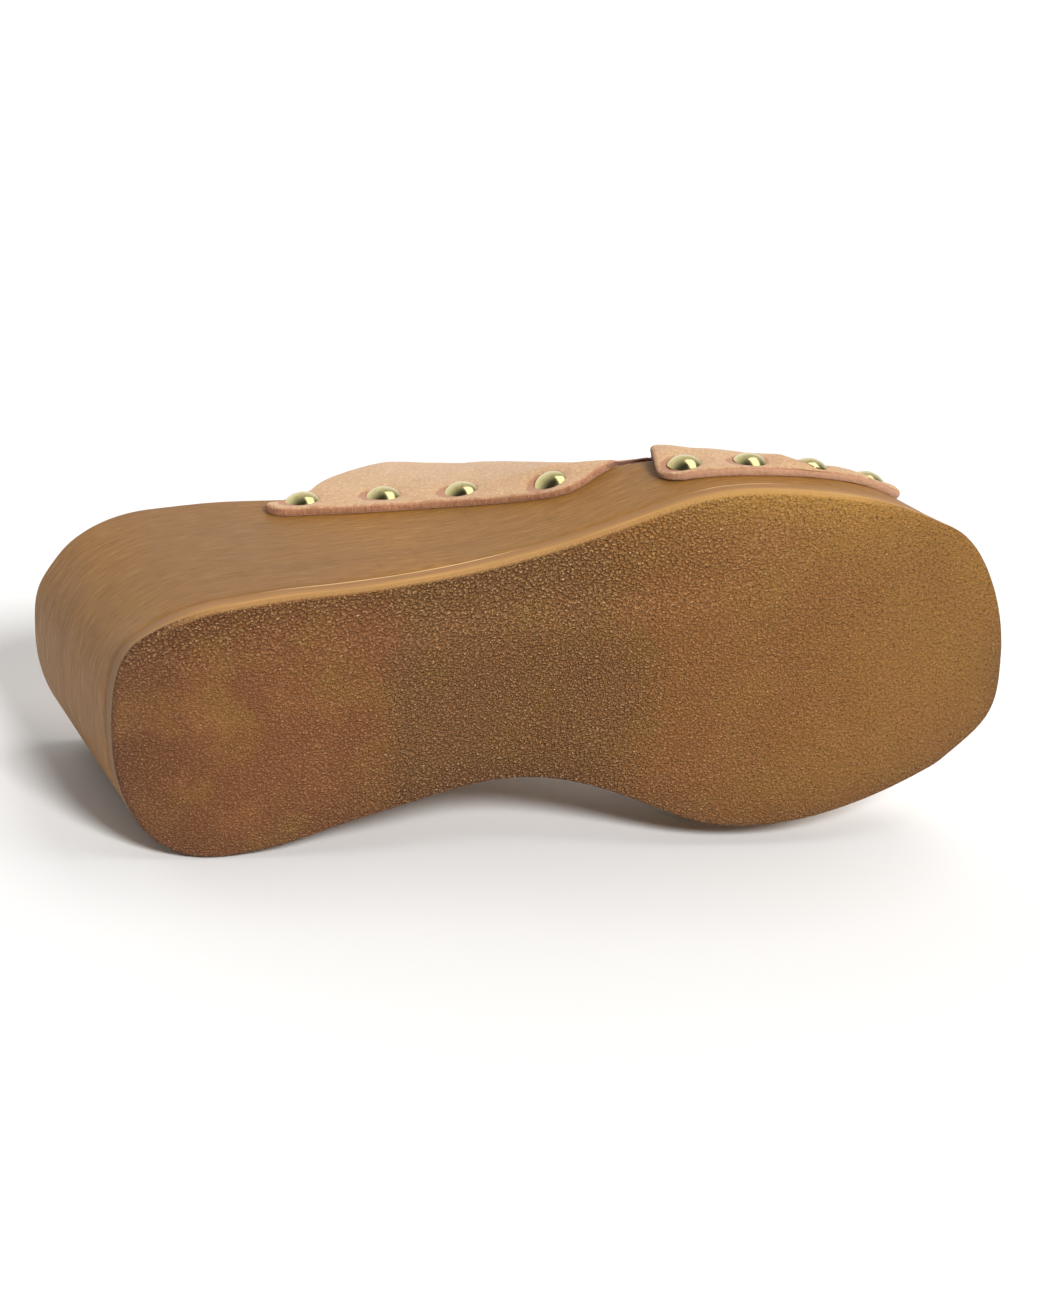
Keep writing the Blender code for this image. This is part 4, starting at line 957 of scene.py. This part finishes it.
def strap_into(shape, folds, lift, thinning, creases, seed, shadowed_end):
    """Adds one strap: suede face, lining and a raw cut edge between them, with painted shadow on the cut edge at one
    end beyond a girth.
    """
    across, edge_steps = 150, 5
    knee = 1 - WALL_SHARE
    flat = 1 - WALL_SHARE * np.linspace(0, 1, 19)[:-1] ** 1.25
    arch = np.linspace(-knee, knee, 90)
    arch = 0.55 * knee * np.sin(arch / knee * np.pi / 2) + 0.45 * arch
    girth = np.concatenate([-flat, arch, flat[::-1]])
    rear, front = strap_edges(folds, girth)
    # the edges were cut by hand and wander a little
    rear = rear + 0.22 * ripple(np.stack([girth * 90, 0 * girth], -1), 17.0, seed)
    front = front + 0.22 * ripple(np.stack([girth * 90, 0 * girth + 7], -1), 15.0, seed + 1)
    x = rear[:, None] + (front - rear)[:, None] * np.linspace(0, 1, across + 1)[None]
    g = np.broadcast_to(girth[:, None], x.shape)
    clear = SNUG + lift(x, g)
    inner = girth_point(x, g, clear)
    ahead = girth_point(x + 0.3, g, clear) - girth_point(x - 0.3, g, clear)
    over = girth_point(x, np.clip(g + 0.004, -1, 1), clear) - girth_point(x, np.clip(g - 0.004, -1, 1), clear)
    normal = np.cross(ahead, over)
    normal /= np.linalg.norm(normal, axis=-1, keepdims=True)
    flat_inner = inner.reshape(-1, 3)
    thick = STRAP_THICKNESS + (0.18 * ripple(flat_inner, 21.0, seed + 2) + 0.06 * ripple(flat_inner, 8.0, seed + 3)).reshape(x.shape)
    bend = smooth((0.62 - np.abs(g)) / 0.2)
    for place, deep, wide in creases:
        off = x - (rear + (front - rear) * place)[:, None] - 3.0 * np.sin(g * 4.0 + seed)
        thick += bend * deep * (0.55 * np.exp(-((off / wide - 2.1) ** 2)) - np.exp(-((off / wide) ** 2)))
    height = np.where(np.abs(g) >= knee, inner[..., 2] - low(x), 99.0)
    edge = np.min([x - rear[:, None], front[:, None] - x, height], axis=0)
    thick -= thinning(x, g)
    thick *= 1 - 0.25 * np.clip(1 - edge / 1.2, 0, 1) ** 2  # the cut edge is rubbed round
    outer = inner + normal * thick[..., None]
    # the tacks pull the suede down around them
    mark = edge
    for _, seat, axis in SEATS:
        off = outer - seat
        aside = np.sqrt(np.maximum(0, np.sum(off * off, axis=-1) - off[..., 0] ** 2))
        d = np.hypot(off[..., 0] / 1.3 + 0.9, aside)
        pull = 0.6 * np.exp(-((d / 5.2) ** 4)) * (0.4 + 0.6 * smooth((off[..., 2] + 5) / 6)) - 0.15 * np.exp(-(((d - 7.2) / 1.6) ** 2))
        outer = outer - axis * pull[..., None]
        mark = np.minimum(mark, 1.2 * (d - 4.3))  # painted shadow in a pocket on the heel side of each tack
    rows, cols = x.shape
    face = shape.add(outer, mark).reshape(rows, cols)
    back = shape.add(inner, edge).reshape(rows, cols)
    uv = np.stack([x, g * 90], -1)
    shape.grid(face, uv, 0)
    shape.grid(back, uv, 2, flip=True)
    r, c = np.meshgrid(np.arange(rows), np.arange(cols), indexing="ij")
    around = [np.concatenate([k[0, :-1], k[:-1, -1], k[-1, :0:-1], k[:0:-1, 0]]) for k in (r, c)]
    around = tuple(around)
    lower, upper = inner[around], outer[around]
    outwards = np.cross(np.roll(lower, -1, 0) - np.roll(lower, 1, 0), upper - lower)
    outwards /= np.maximum(1e-9, np.linalg.norm(outwards, axis=1, keepdims=True))
    outwards *= np.sign(np.sum(outwards * (lower - inner[rows // 2, cols // 2]), axis=1).mean())
    step = np.linalg.norm(np.roll(lower, -1, 0) - lower, axis=1)
    s, total = np.concatenate([[0.0], np.cumsum(step)[:-1]]), step.sum()
    shadow_end, beyond = shadowed_end
    # painted shadow on the cut edge at the end that lies in shade
    end_shadow = smooth((beyond - np.abs(g[around])) / 0.06) * (around[1] == {"front": cols - 1, "rear": 0}[shadow_end])
    made = np.random.default_rng(seed)
    chain = [back[around]]
    for k in range(1, edge_steps):
        share = k / edge_steps
        bulge = 0.2 * math.sin(math.pi * share) + 0.07 * made.normal(size=len(s))
        chain.append(shape.add(lower + (upper - lower) * share + outwards * bulge[:, None], -end_shadow))
    chain.append(face[around])
    for k in range(edge_steps):
        through = [np.full(len(s), STRAP_THICKNESS * n / edge_steps) for n in (k, k + 1)]
        shape.wall(chain[k], chain[k + 1], s, total, *through, 1)


def make_straps():
    shape = Shape("edge")
    strap_into(shape, REAR_STRAP, flat_lift, rear_thinning, REAR_CREASES, 11, ("front", 0.88))
    strap_into(shape, FRONT_STRAP, front_lift, front_thinning, FRONT_CREASES, 23, ("rear", 0.99))
    return shape.object("suede_straps", [suede(), cut_edge(), lining_leather()])


# ---------------------------------------------------------------- studs
def make_studs():
    shape = Shape()
    around = 40
    sphere = (STUD_RADIUS**2 + STUD_HEIGHT**2) / (2 * STUD_HEIGHT)
    spread = math.asin(STUD_RADIUS / sphere)
    angles = [spread * k / 14 for k in range(1, 15)]
    profile = [(sphere * math.sin(a), STUD_HEIGHT - sphere * (1 - math.cos(a))) for a in angles]
    profile += [(STUD_RADIUS + 0.04, -0.12), (STUD_RADIUS - 0.08, -0.45), (STUD_RADIUS - 0.9, -0.55)]
    turns = np.linspace(0, 2 * np.pi, around, endpoint=False)
    for number, (_, seat, axis) in enumerate(SEATS):
        # tacks are driven by hand, so none sits quite straight
        made = np.random.default_rng(300 + number)
        axis = axis + 0.02 * made.normal(size=3)
        axis /= np.linalg.norm(axis)
        side = np.cross(axis, [1.0, 0.0, 0.0])
        side /= np.linalg.norm(side)
        other = np.cross(axis, side)
        circle = np.cos(turns)[:, None] * side + np.sin(turns)[:, None] * other
        rings = [shape.add(seat + axis * height + radius * circle) for radius, height in profile]
        s = turns * STUD_RADIUS
        for k in range(len(rings) - 1):
            shape.wall(rings[k + 1], rings[k], s, 2 * np.pi * STUD_RADIUS, np.full(around, k + 1.0), np.full(around, float(k)), 0)
        tip = shape.add(seat + axis * STUD_HEIGHT)[0]
        shape.polygons(np.stack([rings[0], np.roll(rings[0], -1), np.full(around, tip)], -1), np.zeros((around, 3, 2)), 0)
        shape.lid(rings[-1], 0)
    return shape.object("brass_studs", [brass()])


# ---------------------------------------------------------------- pieces on the frame
for piece, nodes, slot in (
    (make_outsole(), ["outsole"], "outsole"),
    (make_wedge(), ["wedge_body"], "wedge"),
    (make_insole(), ["insole"], "insole"),
    (make_straps(), ["upper"], "upper"),
    (make_studs(), [name for name, _, _ in SEATS], "studs"),
):
    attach(piece, "root")
    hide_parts(*nodes)

# ---------------------------------------------------------------- floor, light and camera
floor_mesh = bpy.data.meshes.new("floor")
floor_mesh.from_pydata([(-6, -6, 0), (6, -6, 0), (6, 6, 0), (-6, 6, 0)], [], [(0, 1, 2, 3)])
floor = bpy.data.objects.new("floor", floor_mesh)
floor.location.z = -0.0003
bpy.context.scene.collection.objects.link(floor)
floor.data.materials.append(pale_floor())

world = bpy.data.worlds.new("studio")
bpy.context.scene.world = world
world.use_nodes = True
sky = world.node_tree
way = sky.nodes.new("ShaderNodeTexCoord")
lean_to = sky.nodes.new("ShaderNodeVectorMath")
lean_to.operation = "DOT_PRODUCT"
lean_to.inputs[1].default_value = (-0.12, 0.85, -0.30)  # brightest behind, low down
sky.links.new(way.outputs["Generated"], lean_to.inputs[0])
tone = sky.nodes.new("ShaderNodeMapRange")
tone.interpolation_type = "SMOOTHSTEP"
for key, number in (("From Min", -0.38), ("From Max", 0.85), ("To Min", 0.05), ("To Max", 1.5)):
    tone.inputs[key].default_value = number
sky.links.new(lean_to.outputs["Value"], tone.inputs["Value"])
sky.links.new(tone.outputs["Result"], sky.nodes["Background"].inputs["Strength"])
sky.nodes["Background"].inputs["Color"].default_value = (1.0, 0.99, 0.975, 1.0)


def sun(name, toward, power, angle, colour=(1.0, 1.0, 1.0)):
    light = bpy.data.lights.new(name, "SUN")
    light.energy = power
    light.angle = math.radians(angle)
    light.color = colour
    obj = bpy.data.objects.new(name, light)
    obj.rotation_euler = Vector(toward).to_track_quat("Z", "Y").to_euler()
    bpy.context.scene.collection.objects.link(obj)


def softbox(name, toward, power, wide, high, colour):
    light = bpy.data.lights.new(name, "AREA")
    light.shape, light.size, light.size_y = "RECTANGLE", wide, high
    light.energy = power
    light.color = colour
    obj = bpy.data.objects.new(name, light)
    obj.location = 2 * Vector(toward).normalized()
    obj.rotation_euler = Vector(toward).to_track_quat("Z", "Y").to_euler()
    bpy.context.scene.collection.objects.link(obj)


softbox("key", (0.36, 0.06, 0.92), 18.0, 1.75, 1.1, (1.0, 0.98, 0.95))
sun("front_top", (0.12, -0.77, 0.62), 3.5, 16)

EYE = Vector((-169.596, -394.285, -826.230))
RIGHT = Vector((0.95068, -0.02666, -0.30902))
UP = Vector((0.10003, -0.91671, 0.38683))
BACK = Vector((-0.29359, -0.39866, -0.86883))
FOCAL_PIXELS, IMAGE_HEIGHT = 3600.0, 1300.0

camera = bpy.data.cameras.new("camera")
camera.sensor_width = 36.0
camera.lens = FOCAL_PIXELS * 36.0 / IMAGE_HEIGHT
camera.clip_start = 0.01
eye = bpy.data.objects.new("camera", camera)
turn = LAY.to_3x3()
eye.matrix_world = Matrix.Translation(LAY @ (EYE / 1000)) @ Matrix((turn @ RIGHT, turn @ UP, turn @ BACK)).transposed().to_4x4()
bpy.context.scene.collection.objects.link(eye)
bpy.context.scene.camera = eye
bpy.context.scene.view_settings.view_transform = "Standard"

bpy.context.view_layer.update()
